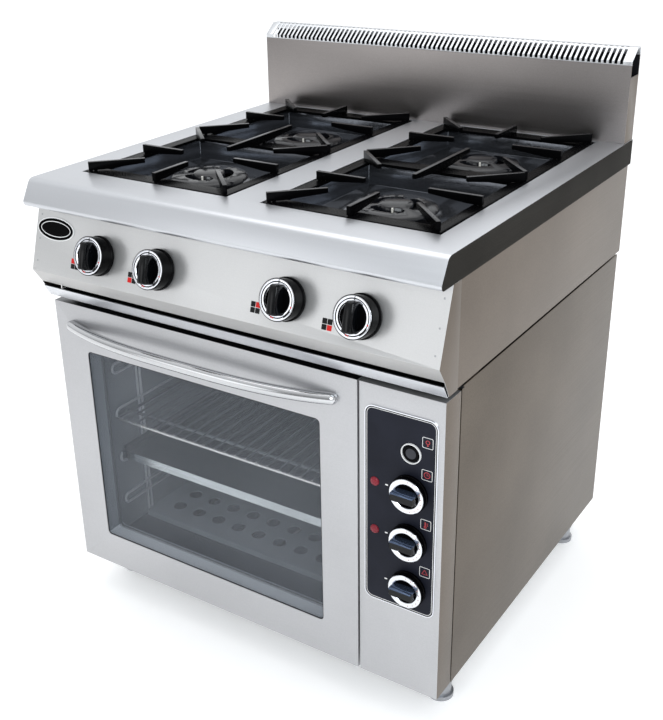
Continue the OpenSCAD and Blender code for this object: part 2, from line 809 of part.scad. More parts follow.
// cast burner body: mixing stub, bowl and the comb that spaces the flames
module burner_heads() {
    teeth = 36;
    comb_r = 62;
    for (i = [0 : 3]) color([0.25, 0.25, 0.26]) translate([burner_x[i], burner_y[i], 0]) difference() {
        union() {
            translate([0, 0, stub_low]) cylinder(h = head_top - 24 - stub_low, r = 12);
            translate([0, 0, head_top - 26]) cylinder(h = 16, r1 = 16, r2 = 56);
            translate([0, 0, head_top - 12]) cylinder(h = 12, r = 56);
            translate([0, 0, head_top]) difference() {
                cylinder(h = 5.7, r = comb_r);
                translate([0, 0, -1]) cylinder(h = 8, r = 52);
            }
            translate([0, 0, head_top]) cylinder(h = 5.7, r = 20);
        }
        for (t = [0 : teeth - 1]) rotate([0, 0, t * 360 / teeth])
            translate([50, -1, head_top + 1.5]) cube([14, 2, 5]);
    }
}

// loose cap: a domed disc with three curved slots round its raised centre
module burner_cap(i) {
    low = head_top + 6;
    slot_r = 36;
    slot_half = 8;
    reach = 38;
    edge = slot_r * [cos(reach), sin(reach)];
    outline = concat(
        arc([0, 0], slot_r + slot_half, -reach, reach, 16), arc(edge, slot_half, reach, reach + 180, 8),
        arc([0, 0], slot_r - slot_half, reach, -reach, 12),
        arc([edge.x, -edge.y], slot_half, 180 - reach, 360 - reach, 8));
    color([0.16, 0.16, 0.17]) translate([burner_x[i], burner_y[i], low]) difference() {
        rotate_extrude($fn = 96) polygon([
            [0, 0], [cap_r - 1, 0], [cap_r, 2], [cap_r - 1.5, 5], [cap_r - 6, 7.5], [30, 9],
            [26, 12], [21, 13.5], [0, 13.5]]);
        for (a = [30, 150, 270]) rotate([0, 0, a]) translate([0, 0, -1]) linear_extrude(20) polygon(outline);
    }
}

// pilot flame pipe and thermocouple tip in a gap of each burner
module pilot_burners() {
    pin_at = [12, -34];
    for (i = [0 : 3]) translate([burner_x[i] + pin_at.x, burner_y[i] + pin_at.y, head_top]) {
        color([0.80, 0.80, 0.78]) cylinder(h = 19, r = 1.8);
        color([0.80, 0.80, 0.78]) cylinder(h = 10, r = 3.6);
    }
}

// ---- grates ----------------------------------------------------------------------------------
grate_t = 5;
grate_gap = 4;
tip_h = 8;
foot_up = 1.5;
mid_tip = 58;
side_strip = 20;
end_strip = 30;

// upright finger that starts at from, points at angle a and is run long
module finger(from, a, run) {
    heel = 26;
    translate([from.x, from.y, 0]) rotate([0, 0, a]) {
        rotate([90, 0, 0]) translate([0, 0, -finger_t / 2]) linear_extrude(finger_t)
            polygon([[0, foot_up], [heel, foot_up], [run, finger_h - tip_h], [run, finger_h], [0, finger_h]]);
        for (x = [4, 12]) translate([x, 0, -eps]) cylinder(h = foot_up + 2 * eps, r = 3.2);
    }
}

// one grate over two burners, about the centre of its opening
module grate(k) {
    w = opening_w - 2 * grate_gap;
    l = opening_l - 2 * grate_gap;
    end_x = w / 2 - 4;
    end_y = l / 2 - 4;
    diagonal = 98;
    bar_half = burner_pitch / 2 - mid_tip;
    color([0.07, 0.07, 0.08]) translate([opening_x[k], 0, z_work]) {
        difference() {
            box([-w / 2, opening_y - l / 2, -grate_t], [w / 2, opening_y + l / 2, 0]);
            for (side = [-1, 1]) {
                near = opening_y + side * 16;
                far = opening_y + side * (l / 2 - end_strip);
                box([side_strip - w / 2, min(near, far), -grate_t - 1],
                    [w / 2 - side_strip, max(near, far), 1]);
            }
        }
        translate([0, opening_y, 0]) for (side = [-1, 1]) {
            finger([0, side * end_y], -side * 90, end_y - burner_pitch / 2 - mid_tip);
            for (x = [-1, 1]) {
                inward = x < 0 ? 0 : 180;
                finger([x * end_x, side * burner_pitch / 2], inward, end_x - mid_tip);
                finger([x * end_x, side * end_y], inward - x * side * -45, diagonal);
                finger([x * end_x, side * 3], inward - x * side * 45, diagonal);
            }
        }
        // long bar over the middle strip
        translate([0, opening_y, 0]) {
            rotate([90, 0, 90]) translate([0, 0, -finger_t / 2]) linear_extrude(finger_t)
                polygon([[-bar_half, finger_h - tip_h], [-22, foot_up], [22, foot_up],
                         [bar_half, finger_h - tip_h], [bar_half, finger_h], [-bar_half, finger_h]]);
            for (y = [-9, 9]) translate([0, y, -eps]) cylinder(h = foot_up + 2 * eps, r = 3.2);
        }
    }
}

// ---- gas supply ------------------------------------------------------------------------------
// the gas line runs along the taps and back along the right side
valve_back = -58;
valve_front = -16;
valve_half = 13;
manifold_r = 9.5;
manifold_in = -40;
manifold_drop = 24;
inward = [0, cos(lean), -sin(lean)];
manifold_y = gas_y - manifold_in * inward.y - manifold_drop * sin(lean);
inlet_x = half - 60;
inlet_z = gas_z - manifold_in * inward.z - manifold_drop * cos(lean);
inlet_r = 10.5;
spindle_r = 4;

// main pipe with a boss under each tap and the inlet stub through the back
module gas_manifold() {
    left = gas_x[0] - 30;
    stub_h = 30;
    color([0.70, 0.66, 0.45]) {
        bent_rod([[left, manifold_y, inlet_z], [inlet_x, manifold_y, inlet_z],
                  [inlet_x, y_back - 2 - stub_h, inlet_z]], manifold_r, manifold_r);
        for (i = [0 : 3]) at_gas(i) translate([0, -manifold_drop, manifold_in]) rotate([-90, 0, 0])
            cylinder(h = manifold_drop - valve_half, r = 7);
        translate([inlet_x, y_back - 2 - stub_h, inlet_z]) rotate([-90, 0, 0])
            cylinder(h = stub_h, r = inlet_r);
    }
}

// tap block with the bore that guides the spindle
module gas_valves() {
    for (i = [0 : 3]) color([0.78, 0.62, 0.30]) at_gas(i) difference() {
        union() {
            translate([-valve_half, -valve_half, valve_back])
                cube([2 * valve_half, 2 * valve_half, valve_front - valve_back]);
            translate([0, 0, valve_front]) cylinder(h = 10, r = 9);
        }
        translate([0, 0, valve_front - 26]) cylinder(h = 40, r = spindle_r + fit);
    }
}

// pipe from each tap to its burner
module burner_pipes() {
    r = 5;
    for (i = [0 : 3]) {
        start = [gas_x[i], gas_y, gas_z] - valve_back * inward;
        knee = start + 16 * inward;
        under = [burner_x[i], burner_y[i], knee.z];
        color([0.72, 0.58, 0.35])
            bent_rod([start, knee, [gas_x[i], under.y, knee.z], under, [under.x, under.y, stub_low]],
                     r, r + 1.5);
    }
}

// spindle that slides in the tap when the knob is pushed
module gas_spindle(i) {
    color([0.75, 0.75, 0.72]) at_gas(i) translate([0, 0, -35]) cylinder(h = 35 + 20, r = spindle_r);
}

// deep skirted knob that turns on its spindle
module gas_knob(i) {
    base = push_travel + 1.2;
    color([0.07, 0.07, 0.08]) at_gas(i) difference() {
        union() {
            knob_body(gas_knob_r, gas_knob_r - 2, base, knob_face, 24);
            grip_bar(grip_half, knob_face - 7, knob_face + grip_h, 14);
        }
        translate([0, 0, -1]) cylinder(h = 21.5, r = spindle_r + fit);
        // hollow skirt around the hub
        difference() {
            translate([0, 0, base - 1]) cylinder(h = 16, r = gas_knob_r - 5);
            translate([0, 0, base - 2]) cylinder(h = 20, r = 11);
        }
    }
}

// cable gland in the back, with the terminal block above it on the inside
module cable_entry() {
    nut_h = 6;
    bore_r = 7;
    color([0.12, 0.12, 0.12]) translate([gland.x, y_panel_back, gland.y]) rotate([-90, 0, 0]) difference() {
        union() {
            cylinder(h = nut_h, r = gland_r + 5, $fn = 6);
            translate([0, 0, -20]) cylinder(h = 20 + nut_h, r = gland_r);
        }
        translate([0, 0, -21]) cylinder(h = 30, r = bore_r);
    }
    color([0.85, 0.82, 0.70]) box([gland.x - 30, y_panel_back - sheet - 34, gland.y + 20],
                                  [gland.x + 30, y_panel_back - sheet, gland.y + 50]);
}

base_frame();
back_panel();
side_panel_left();
side_panel_right();
oven_front_frame();
column_cover();
control_insert();
indicator_lamps();
oven_liner();
oven_insulation();
rack_guides();
floor_plate();
heating_elements();
door_seal();
hinge_brackets();
top_rail();
upper_casing();
fascia();
badge();
worktop();
flue_duct();
flue_cap();
drip_pans();
gas_manifold();
gas_valves();
burner_pipes();
burner_heads();
pilot_burners();
control_units();
cable_entry();
oven_light();
gas_spindle(0);  // gas_spindle_1
gas_spindle(1);  // gas_spindle_2
gas_spindle(2);  // gas_spindle_3
gas_spindle(3);  // gas_spindle_4
gas_knob(0);  // gas_knob_1
gas_knob(1);  // gas_knob_2
gas_knob(2);  // gas_knob_3
gas_knob(3);  // gas_knob_4
timer_knob();
thermostat_knob();
mode_knob();
light_button();
grate(0);  // grate_left
grate(1);  // grate_right
burner_cap(0);  // burner_cap_1
burner_cap(1);  // burner_cap_2
burner_cap(2);  // burner_cap_3
burner_cap(3);  // burner_cap_4
door_skin();
door_liner();
door_glass();
door_handle();
door_hinge_ears();
oven_shelf();
baking_tray();
foot(-foot_x, foot_y[0]);  // foot_front_left
foot(foot_x, foot_y[0]);  // foot_front_right
foot(-foot_x, foot_y[1]);  // foot_rear_left
foot(foot_x, foot_y[1]);  // foot_rear_right
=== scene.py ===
# Looks of a commercial gas range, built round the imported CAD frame. Metres, the frame's own axes.

import json
import math

import bmesh
import bpy
from mathutils import Matrix, Vector


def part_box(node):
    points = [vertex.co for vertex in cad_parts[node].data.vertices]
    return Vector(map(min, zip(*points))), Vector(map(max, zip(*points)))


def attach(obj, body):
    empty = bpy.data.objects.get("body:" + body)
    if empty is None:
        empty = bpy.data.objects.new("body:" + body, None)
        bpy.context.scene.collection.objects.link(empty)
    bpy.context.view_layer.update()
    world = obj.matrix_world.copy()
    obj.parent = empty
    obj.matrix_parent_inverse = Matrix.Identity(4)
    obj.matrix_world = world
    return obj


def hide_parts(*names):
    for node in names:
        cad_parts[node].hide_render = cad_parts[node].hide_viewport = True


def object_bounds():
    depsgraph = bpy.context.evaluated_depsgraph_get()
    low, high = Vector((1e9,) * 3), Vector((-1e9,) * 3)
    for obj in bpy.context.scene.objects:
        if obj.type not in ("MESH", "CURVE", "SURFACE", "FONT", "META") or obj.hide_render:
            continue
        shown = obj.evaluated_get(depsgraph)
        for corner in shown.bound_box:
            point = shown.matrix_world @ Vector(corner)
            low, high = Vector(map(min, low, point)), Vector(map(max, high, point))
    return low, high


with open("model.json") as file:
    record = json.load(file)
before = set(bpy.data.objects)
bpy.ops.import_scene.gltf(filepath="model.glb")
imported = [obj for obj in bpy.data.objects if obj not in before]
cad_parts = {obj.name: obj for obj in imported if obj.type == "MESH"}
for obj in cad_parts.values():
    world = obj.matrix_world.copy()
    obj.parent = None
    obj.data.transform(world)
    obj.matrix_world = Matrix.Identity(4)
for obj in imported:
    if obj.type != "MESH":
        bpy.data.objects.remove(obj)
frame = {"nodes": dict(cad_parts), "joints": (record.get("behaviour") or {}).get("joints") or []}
CAD_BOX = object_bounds()

MM = 0.001
NODES = frame["nodes"]
JOINTS = {joint["name"]: joint for joint in frame["joints"]}
WORK_LOW, WORK_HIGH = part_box("worktop")
FASCIA_LOW, FASCIA_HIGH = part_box("fascia")
DOOR_LOW, DOOR_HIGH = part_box("door_skin")
INSERT_LOW, INSERT_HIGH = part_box("control_insert")
FLUE_LOW, FLUE_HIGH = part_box("flue_duct")
GLASS_LOW, GLASS_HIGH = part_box("door_glass")
BUTTON_LOW, BUTTON_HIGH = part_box("light_button")
BUTTON = (BUTTON_LOW + BUTTON_HIGH) / 2
COLUMN_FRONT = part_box("column_cover")[0].y
RAIL_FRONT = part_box("top_rail")[0].y
TRAY_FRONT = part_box("baking_tray")[0].y
GRATE_TOP_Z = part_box("grate_left")[1].z
BURNERS = ("rear_left", "front_left", "rear_right", "front_right")
DIALS = ("timer", "thermostat", "mode")
FORWARD = (0, -1, 0)
SMOOTH_ANGLE = math.radians(35)


# ---- material helpers ----------------------------------------------------------------------------

RAMP_ENDS = (0.3, 0.7)
GRAIN_SCALE = {"along": 3, "across": 900}
SHEET_CLOUDS, CAST_CLOUDS, SPARKLE = 5.0, 22.0, 650.0
SPARKLE_SHARE = 1.6
SHEET_GLOSS, CAST_GLOSS = (-0.03, 0.04), (-0.08, 0.1)
LEAST_ROUGH = 0.02
SHEET_BUMP, CAST_BUMP = 0.06, 0.25
SHEET_RELIEF = 0.1 * MM


def srgb(red, green, blue):
    """A colour given on the 0 to 255 display scale, as linear light."""
    linear = [((c / 255 + 0.055) / 1.055) ** 2.4 if c > 10 else c / 3294.6 for c in (red, green, blue)]
    return tuple(linear) + (1.0,)


def grey(value):
    return (value, value, value, 1.0)


def shade(colour, factor):
    return tuple(min(1.0, c * factor) for c in colour[:3]) + (1.0,)


def new_material(name, colour, metallic, roughness, specular=0.5):
    """A Principled material; returns it with its nodes, links and shader."""
    material = bpy.data.materials.new(name)
    material.use_nodes = True
    nodes = material.node_tree.nodes
    shader = nodes["Principled BSDF"]
    shader.inputs["Base Color"].default_value = colour
    shader.inputs["Metallic"].default_value = metallic
    shader.inputs["Roughness"].default_value = roughness
    shader.inputs["Specular IOR Level"].default_value = specular
    return material, nodes, material.node_tree.links, shader


def noise(nodes, links, scale, detail, stretch=(1, 1, 1)):
    """Noise in the object's own metres, stretched by a scale along each axis."""
    place = nodes.new("ShaderNodeTexCoord")
    mapping = nodes.new("ShaderNodeMapping")
    mapping.inputs["Scale"].default_value = stretch
    texture = nodes.new("ShaderNodeTexNoise")
    texture.inputs["Scale"].default_value = scale
    texture.inputs["Detail"].default_value = detail
    links.new(place.outputs["Object"], mapping.inputs["Vector"])
    links.new(mapping.outputs["Vector"], texture.inputs["Vector"])
    return texture.outputs["Fac"]


def ramp(nodes, links, value, low, high):
    """Maps the middle of a noise value's range between two colours or greys."""
    made = nodes.new("ShaderNodeValToRGB")
    first, last = made.color_ramp.elements
    first.position, last.position = RAMP_ENDS
    first.color = low
    last.color = high
    links.new(value, made.inputs["Fac"])
    return made.outputs["Color"]


def multiply(nodes, links, tone, layer):
    mix = nodes.new("ShaderNodeMixRGB")
    mix.blend_type = "MULTIPLY"
    mix.inputs["Fac"].default_value = 1.0
    links.new(tone, mix.inputs["Color1"])
    links.new(layer, mix.inputs["Color2"])
    return mix.outputs["Color"]


def add_bump(nodes, links, shader, height, strength, distance):
    bump = nodes.new("ShaderNodeBump")
    bump.inputs["Strength"].default_value = strength
    bump.inputs["Distance"].default_value = distance
    links.new(height, bump.inputs["Height"])
    links.new(bump.outputs["Normal"], shader.inputs["Normal"])


def brushed(name, colour, roughness, grain, contrast, metallic=1.0, specular=0.5):
    """Brushed sheet: fine streaks along the grain axis, with soft clouds and fine sparkle in its tone."""
    material, nodes, links, shader = new_material(name, colour, metallic, roughness, specular)
    stretch = tuple(GRAIN_SCALE["along" if axis == grain else "across"] for axis in "xyz")
    streaks = noise(nodes, links, 1.0, 4, stretch)
    clouds = noise(nodes, links, SHEET_CLOUDS, 3)
    sparkle = noise(nodes, links, SPARKLE, 1)
    tone = ramp(nodes, links, clouds, shade(colour, 1 - contrast), shade(colour, 1 + contrast))
    tone = multiply(nodes, links, tone, ramp(nodes, links, streaks, grey(1 - contrast), grey(1.0)))
    dots = ramp(nodes, links, sparkle, grey(1 - SPARKLE_SHARE * contrast), grey(1.0))
    tone = multiply(nodes, links, tone, dots)
    links.new(tone, shader.inputs["Base Color"])
    low, high = [grey(roughness + shift) for shift in SHEET_GLOSS]
    links.new(ramp(nodes, links, streaks, low, high), shader.inputs["Roughness"])
    add_bump(nodes, links, shader, streaks, SHEET_BUMP, SHEET_RELIEF)
    return material


def speckled(name, colour, roughness, scale, contrast, relief, metallic=0.0, specular=0.5):
    """Cast, moulded or enamelled surface: fine grain in its gloss and height, soft clouds in its tone."""
    material, nodes, links, shader = new_material(name, colour, metallic, roughness, specular)
    grain = noise(nodes, links, scale, 5)
    clouds = noise(nodes, links, CAST_CLOUDS, 3)
    tone = ramp(nodes, links, clouds, shade(colour, 1 - contrast), shade(colour, 1 + contrast))
    links.new(tone, shader.inputs["Base Color"])
    low, high = [grey(max(LEAST_ROUGH, roughness + shift)) for shift in CAST_GLOSS]
    links.new(ramp(nodes, links, grain, low, high), shader.inputs["Roughness"])
    add_bump(nodes, links, shader, grain, CAST_BUMP, relief)
    return material


def glass(name, colour, cover):
    """Tinted pane: a thin film of smears, of about the given cover, over clear glass."""
    material, nodes, links, shader = new_material(name, colour, 0.0, 0.04)
    smears = noise(nodes, links, 3.0, 2)
    film = ramp(nodes, links, smears, grey(cover - 0.03), grey(cover + 0.03))
    links.new(film, shader.inputs["Alpha"])
    rough = ramp(nodes, links, smears, grey(0.02), grey(0.06))
    links.new(rough, shader.inputs["Roughness"])
    shader.inputs["IOR"].default_value = 1.5
    return material


# ---- palette -------------------------------------------------------------------------------------
# brushed: name, colour, roughness, grain axis, contrast. speckled: name, colour, roughness, grain
# scale, contrast, depth of its relief.

FRONT_STEEL = brushed("front_steel", srgb(200, 200, 200), 0.33, "x", 0.03, metallic=0.7)
# Painted shade: a slightly darker copy of the front steel for the fascia's down-facing lower strip.
SHADED_CHAMFER_STEEL = brushed("shaded_chamfer_steel", srgb(180, 179, 178), 0.36, "x", 0.03, metallic=0.5)
# Painted shade: a darker copy of the door steel for the door's top fold in the gap under the rail.
SHADED_EDGE_STEEL = brushed("shaded_edge_steel", srgb(116, 117, 120), 0.33, "x", 0.04)
DOOR_STEEL = brushed("door_steel", srgb(184, 184, 186), 0.33, "x", 0.04, metallic=0.7)
BRIGHT_STEEL = brushed("bright_steel", srgb(204, 206, 210), 0.38, "x", 0.015)
RAIL_STEEL = brushed("rail_steel", srgb(214, 216, 220), 0.34, "x", 0.03)
# Painted shade: a darker steel than the fronts, for the sides and the sheets' end folds, which face away from
# the light; the lower side panels take a still darker copy.
SHADED_SIDE_STEEL = brushed("shaded_side_steel", srgb(120, 111, 102), 0.42, "y", 0.10)
SHADED_PANEL_STEEL = brushed("shaded_panel_steel", srgb(109, 101, 92), 0.42, "y", 0.12)
# Painted shade: a near-black, matt copy of the worktop steel for its side flanges, which face away from the
# light.
SHADED_FLANGE_STEEL = brushed("shaded_flange_steel", srgb(52, 50, 47), 0.70, "y", 0.25, metallic=0.0, specular=0.04)
FLUE_STEEL = brushed("flue_steel", srgb(150, 145, 143), 0.33, "x", 0.06)
CAP_STEEL = brushed("cap_steel", srgb(214, 216, 219), 0.28, "x", 0.03)
ZINC = brushed("zinc_steel", srgb(176, 178, 180), 0.45, "x", 0.10)
HANDLE_STEEL = brushed("handle_steel", srgb(200, 201, 203), 0.11, "x", 0.03)
# Painted highlight: a near-white, cool copy of the tray's metal for the front face of its lip.
TRAY_HIGHLIGHT = brushed("tray_painted_highlight", srgb(240, 249, 255), 0.24, "x", 0.02)
DARK_TRAY = brushed("dark_tray", srgb(96, 99, 105), 0.45, "x", 0.06, metallic=0.3)
FOOT_STEEL = brushed("foot_steel", srgb(170, 172, 176), 0.38, "z", 0.06)
# Painted light in the window's tube: a bright copy of the sheet for its sill, and a darker copy for its sides
# and top as painted shade.
REVEAL_HIGHLIGHT = brushed("window_sill_painted_light", srgb(214, 220, 228), 0.45, "x", 0.03, metallic=0.3)
REVEAL_SHADE = brushed("window_side_painted_shade", srgb(138, 144, 152), 0.45, "x", 0.08, metallic=0.3)

# Painted shade: near-black for recesses, the rail's back faces under the fascia, the flue's inner walls and
# the flue cap's underside.
PAINTED_SHADE_BLACK = speckled("painted_shade_black", srgb(16, 16, 19), 0.80, 160, 0.30, 0.4 * MM, specular=0.1)
CHROME = speckled("chrome_ring", srgb(226, 228, 233), 0.10, 900, 0.04, 0.02 * MM, metallic=1.0)
# Painted highlight: a bright copy of the shelf wire for the oven shelf's front wires.
WIRE_HIGHLIGHT = speckled("wire_painted_highlight", srgb(250, 251, 252), 0.22, 700, 0.06, 0.03 * MM, metallic=0.9)
GUIDE_WIRE = speckled("guide_wire", srgb(214, 218, 224), 0.35, 700, 0.10, 0.03 * MM, metallic=0.3)
# Painted shade: a darker copy of the shelf wire for the oven shelf's wires behind its front.
WIRE_SHADE = speckled("wire_painted_shade", srgb(128, 132, 138), 0.35, 700, 0.10, 0.03 * MM, metallic=0.5)
ENAMEL = speckled("black_enamel", srgb(97, 100, 106), 0.10, 420, 0.08, 0.03 * MM, metallic=0.85)
GRATE_BLACK = speckled("grate_enamel", srgb(5, 5, 6), 0.24, 420, 0.30, 0.1 * MM, specular=0.03)
# Painted highlight: a lighter, glossier copy of the grate enamel for the fingers' top faces.
GRATE_TOP_HIGHLIGHT = speckled("grate_top_painted_highlight", srgb(24, 25, 29), 0.22, 420, 0.30, 0.1 * MM, specular=0.45)
BURNER_BLACK = speckled("burner_enamel", srgb(19, 20, 24), 0.16, 600, 0.20, 0.1 * MM, specular=0.42)
CAST = speckled("cast_iron", srgb(22, 22, 25), 0.55, 500, 0.25, 0.4 * MM, specular=0.3)
BRASS = speckled("brass", srgb(190, 158, 96), 0.35, 500, 0.10, 0.1 * MM, metallic=1.0)
PILOT = speckled("pilot_ceramic", srgb(224, 222, 214), 0.40, 500, 0.06, 0.1 * MM)
KNOB_BLACK = speckled("knob_black", srgb(4, 4, 5), 0.14, 900, 0.15, 0.03 * MM, specular=0.04)
GRIP_BLACK = speckled("grip_black", srgb(6, 7, 9), 0.12, 900, 0.15, 0.03 * MM, specular=0.25)
# Painted reflection: pale blue-grey metal on the oven grips' outward faces, for the bright room mirrored in
# them.
GRIP_REFLECTION = speckled("grip_painted_reflection", srgb(82, 96, 120), 0.18, 900, 0.15, 0.03 * MM, metallic=0.8)
INSERT_BLACK = speckled("insert_black", srgb(27, 29, 38), 0.42, 1500, 0.14, 0.05 * MM, specular=0.10)
BUTTON_GREY = speckled("button_grey", srgb(52, 53, 58), 0.40, 900, 0.12, 0.04 * MM, specular=0.2)
LINER = speckled("liner_enamel", srgb(138, 143, 150), 0.40, 350, 0.10, 0.1 * MM)
DARK_LINER = speckled("dark_liner", srgb(62, 64, 70), 0.40, 350, 0.15, 0.1 * MM)
PLATE = speckled("floor_plate_steel", srgb(150, 156, 164), 0.42, 350, 0.10, 0.1 * MM)
WOOL = speckled("mineral_wool", srgb(205, 192, 150), 0.95, 260, 0.15, 1.5 * MM)
OXIDE = speckled("heater_oxide", srgb(72, 66, 62), 0.55, 500, 0.20, 0.2 * MM, metallic=0.5)
RUBBER = speckled("seal_rubber", srgb(24, 24, 26), 0.70, 400, 0.12, 0.3 * MM, specular=0.2)
CREAM = speckled("cream_plastic", srgb(214, 208, 190), 0.50, 400, 0.05, 0.1 * MM)
RED = speckled("red_print", srgb(196, 30, 28), 0.50, 900, 0.08, 0.03 * MM, specular=0.2)
DULL_RED = speckled("dull_red_print", srgb(168, 62, 66), 0.50, 900, 0.10, 0.03 * MM, specular=0.2)
LENS = speckled("lamp_lens", srgb(116, 24, 38), 0.25, 500, 0.20, 0.1 * MM, specular=0.3)
BLACK_PRINT = speckled("black_print", srgb(12, 12, 14), 0.50, 900, 0.10, 0.03 * MM, specular=0.2)
PALE_PRINT = speckled("pale_print", srgb(226, 226, 226), 0.40, 900, 0.04, 0.03 * MM)
LAMP_GLASS = speckled("lamp_glass", srgb(226, 222, 206), 0.20, 300, 0.05, 0.1 * MM)
SEAL_BLACK = speckled("glass_edge", srgb(16, 17, 20), 0.60, 900, 0.10, 0.03 * MM, specular=0.1)
DOOR_GLASS = glass("door_glass", srgb(112, 117, 124), 0.12)


# ---- mesh helpers --------------------------------------------------------------------------------

WELD = 0.01 * MM
FINE_WELD = 0.001 * MM
FLAT_ANGLE = math.radians(0.5)
SHORTEST_BEVEL = 2.5 * MM


def add_piece(name, bm, body, material, place=None):
    """Turns a bmesh into a piece that rides on a CAD body."""
    if place is not None:
        bm.transform(place)
    bmesh.ops.recalc_face_normals(bm, faces=bm.faces)
    mesh = bpy.data.meshes.new(name)
    bm.to_mesh(mesh)
    bm.free()
    mesh.polygons.foreach_set("use_smooth", [True] * len(mesh.polygons))
    mesh.set_sharp_from_angle(angle=SMOOTH_ANGLE)
    mesh.materials.append(material)
    piece = bpy.data.objects.new(name, mesh)
    bpy.context.scene.collection.objects.link(piece)
    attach(piece, body)
    return piece


def bevel_edges(bm, width):
    """Rounds every sharp edge that is long enough to take it."""
    sharp = [e for e in bm.edges if len(e.link_faces) == 2 and e.calc_face_angle(0) > SMOOTH_ANGLE
             and e.calc_length() > SHORTEST_BEVEL]
    bmesh.ops.bevel(bm, geom=sharp, offset=width, segments=2, profile=0.6, affect="EDGES", clamp_overlap=True)


def pick(others, centre, normal):
    """The number of the last pair whose test a face passes, or 0 for the main material."""
    passed = [index for index, (_, test) in enumerate(others, 1) if test(centre, normal)]
    return passed[-1] if passed else 0


def soften(node, body, material, width, others=()):
    """A copy of a CAD node with rounded edges, which stands for the node.

    others holds pairs of a material and a test; a face that passes the test takes that material.
    """
    bm = bmesh.new()
    bm.from_mesh(NODES[node].data)
    bmesh.ops.remove_doubles(bm, verts=bm.verts, dist=WELD)
    bmesh.ops.dissolve_limit(bm, angle_limit=FLAT_ANGLE, verts=bm.verts, edges=bm.edges)
    bevel_edges(bm, width)
    bmesh.ops.remove_doubles(bm, verts=bm.verts, dist=WELD)
    bmesh.ops.dissolve_degenerate(bm, edges=bm.edges, dist=WELD)
    bmesh.ops.recalc_face_normals(bm, faces=bm.faces)
    bm.normal_update()
    for face in bm.faces:
        face.material_index = pick(others, face.calc_center_median(), face.normal)
    piece = add_piece(node + "_look", bm, body, material)
    for other, _ in others:
        piece.data.materials.append(other)
    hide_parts(node)


def paint(material, *nodes):
    """Gives CAD nodes a material of their own."""
    for node in nodes:
        mesh = NODES[node].data
        mesh.materials.clear()
        mesh.materials.append(material)


def paint_by_face(node, material, others):
    """Paints a CAD node; a face that passes a pair's test takes that pair's material."""
    paint(material, node)
    mesh = NODES[node].data
    for other, _ in others:
        mesh.materials.append(other)
    for face in mesh.polygons:
        face.material_index = pick(others, face.center, face.normal)


def skin(bm, outlines):
    """Joins a stack of loops of (x, y, z) points into a closed solid."""
    loops = [[bm.verts.new(point) for point in outline] for outline in outlines]
    count = len(loops[0])
    for a, b in zip(loops, loops[1:]):
        for i in range(count):
            j = (i + 1) % count
            bm.faces.new((a[i], a[j], b[j], b[i]))
    bm.faces.new(list(reversed(loops[0])))
    bm.faces.new(loops[-1])


def prism(bm, outline, low, high):
    """Extrudes an outline (x, y points) from z = low to z = high."""
    skin(bm, [[(x, y, z) for x, y in outline] for z in (low, high)])


def pierced_plate(bm, outline, holes, low, high):
    """Extrudes an outline with holes from z = low to z = high."""
    edges = []
    for loop in [outline] + holes:
        verts = [bm.verts.new((x, y, low)) for x, y in loop]
        edges += [bm.edges.new((a, b)) for a, b in zip(verts, verts[1:] + verts[:1])]
    bmesh.ops.triangle_fill(bm, use_beauty=True, use_dissolve=False, edges=edges)
    raised = bmesh.ops.extrude_face_region(bm, geom=list(bm.faces))["geom"]
    top = [item for item in raised if isinstance(item, bmesh.types.BMVert)]
    bmesh.ops.translate(bm, vec=(0, 0, high - low), verts=top)


def ring_prism(bm, outer, inner, low, high):
    """Extrudes the band between two outlines with the same number of points."""
    count = len(outer)
    loops = [[bm.verts.new((x, y, z)) for x, y in outline]
             for outline, z in ((outer, low), (outer, high), (inner, high), (inner, low))]
    for a, b in zip(loops, loops[1:] + loops[:1]):
        for i in range(count):
            j = (i + 1) % count
            bm.faces.new((a[i], a[j], b[j], b[i]))


def lathe(bm, profile, steps=64):
    """Turns a profile of (radius, height) points about Z; a closed profile makes a solid ring."""
    loops = []
    for k in range(steps):
        angle = math.radians(360 * k / steps)
        loops.append([bm.verts.new((r * math.cos(angle), r * math.sin(angle), z)) for r, z in profile])
    count = len(profile)
    for a, b in zip(loops, loops[1:] + loops[:1]):
        for i in range(count):
            j = (i + 1) % count
            bm.faces.new((a[i], b[i], b[j], a[j]))
    bmesh.ops.remove_doubles(bm, verts=bm.verts, dist=FINE_WELD)
    bmesh.ops.dissolve_degenerate(bm, edges=bm.edges, dist=FINE_WELD)


def join(target, part, place):
    """Adds one bmesh to another, moved into place."""
    part.transform(place)
    mesh = bpy.data.meshes.new("part")
    part.to_mesh(mesh)
    part.free()
    target.from_mesh(mesh)
    bpy.data.meshes.remove(mesh)


def round_box(width, height, radius, steps=6):
    """Outline of a rectangle with round corners, about the origin."""
    points = []
    for corner, (sx, sy) in enumerate(((1, 1), (-1, 1), (-1, -1), (1, -1))):
        for k in range(steps + 1):
            angle = math.radians(90 * corner + 90 * k / steps)
            points.append((sx * (width / 2 - radius) + radius * math.cos(angle),
                           sy * (height / 2 - radius) + radius * math.sin(angle)))
    return points


def moved(outline, x, y):
    return [(u + x, v + y) for u, v in outline]


def oval(rx, ry, steps=64, start=0.0):
    """Outline of an ellipse about the origin."""
    turns = [start + math.tau * k / steps for k in range(steps)]
    return [(rx * math.cos(turn), ry * math.sin(turn)) for turn in turns]


def upright(origin, outward):
    """A frame whose Z is outward, whose X is the range's X and whose Y runs up the panel."""
    z = Vector(outward).normalized()
    x = Vector((1, 0, 0))
    y = z.cross(x)
    turn = Matrix((x, y, z)).transposed().to_4x4()
    return Matrix.Translation(Vector(origin)) @ turn


def on_column(x, z):
    """A frame on the front of the oven's control column."""
    return upright((x, COLUMN_FRONT, z), FORWARD)


# ---- camera, light and floor ---------------------------------------------------------------------


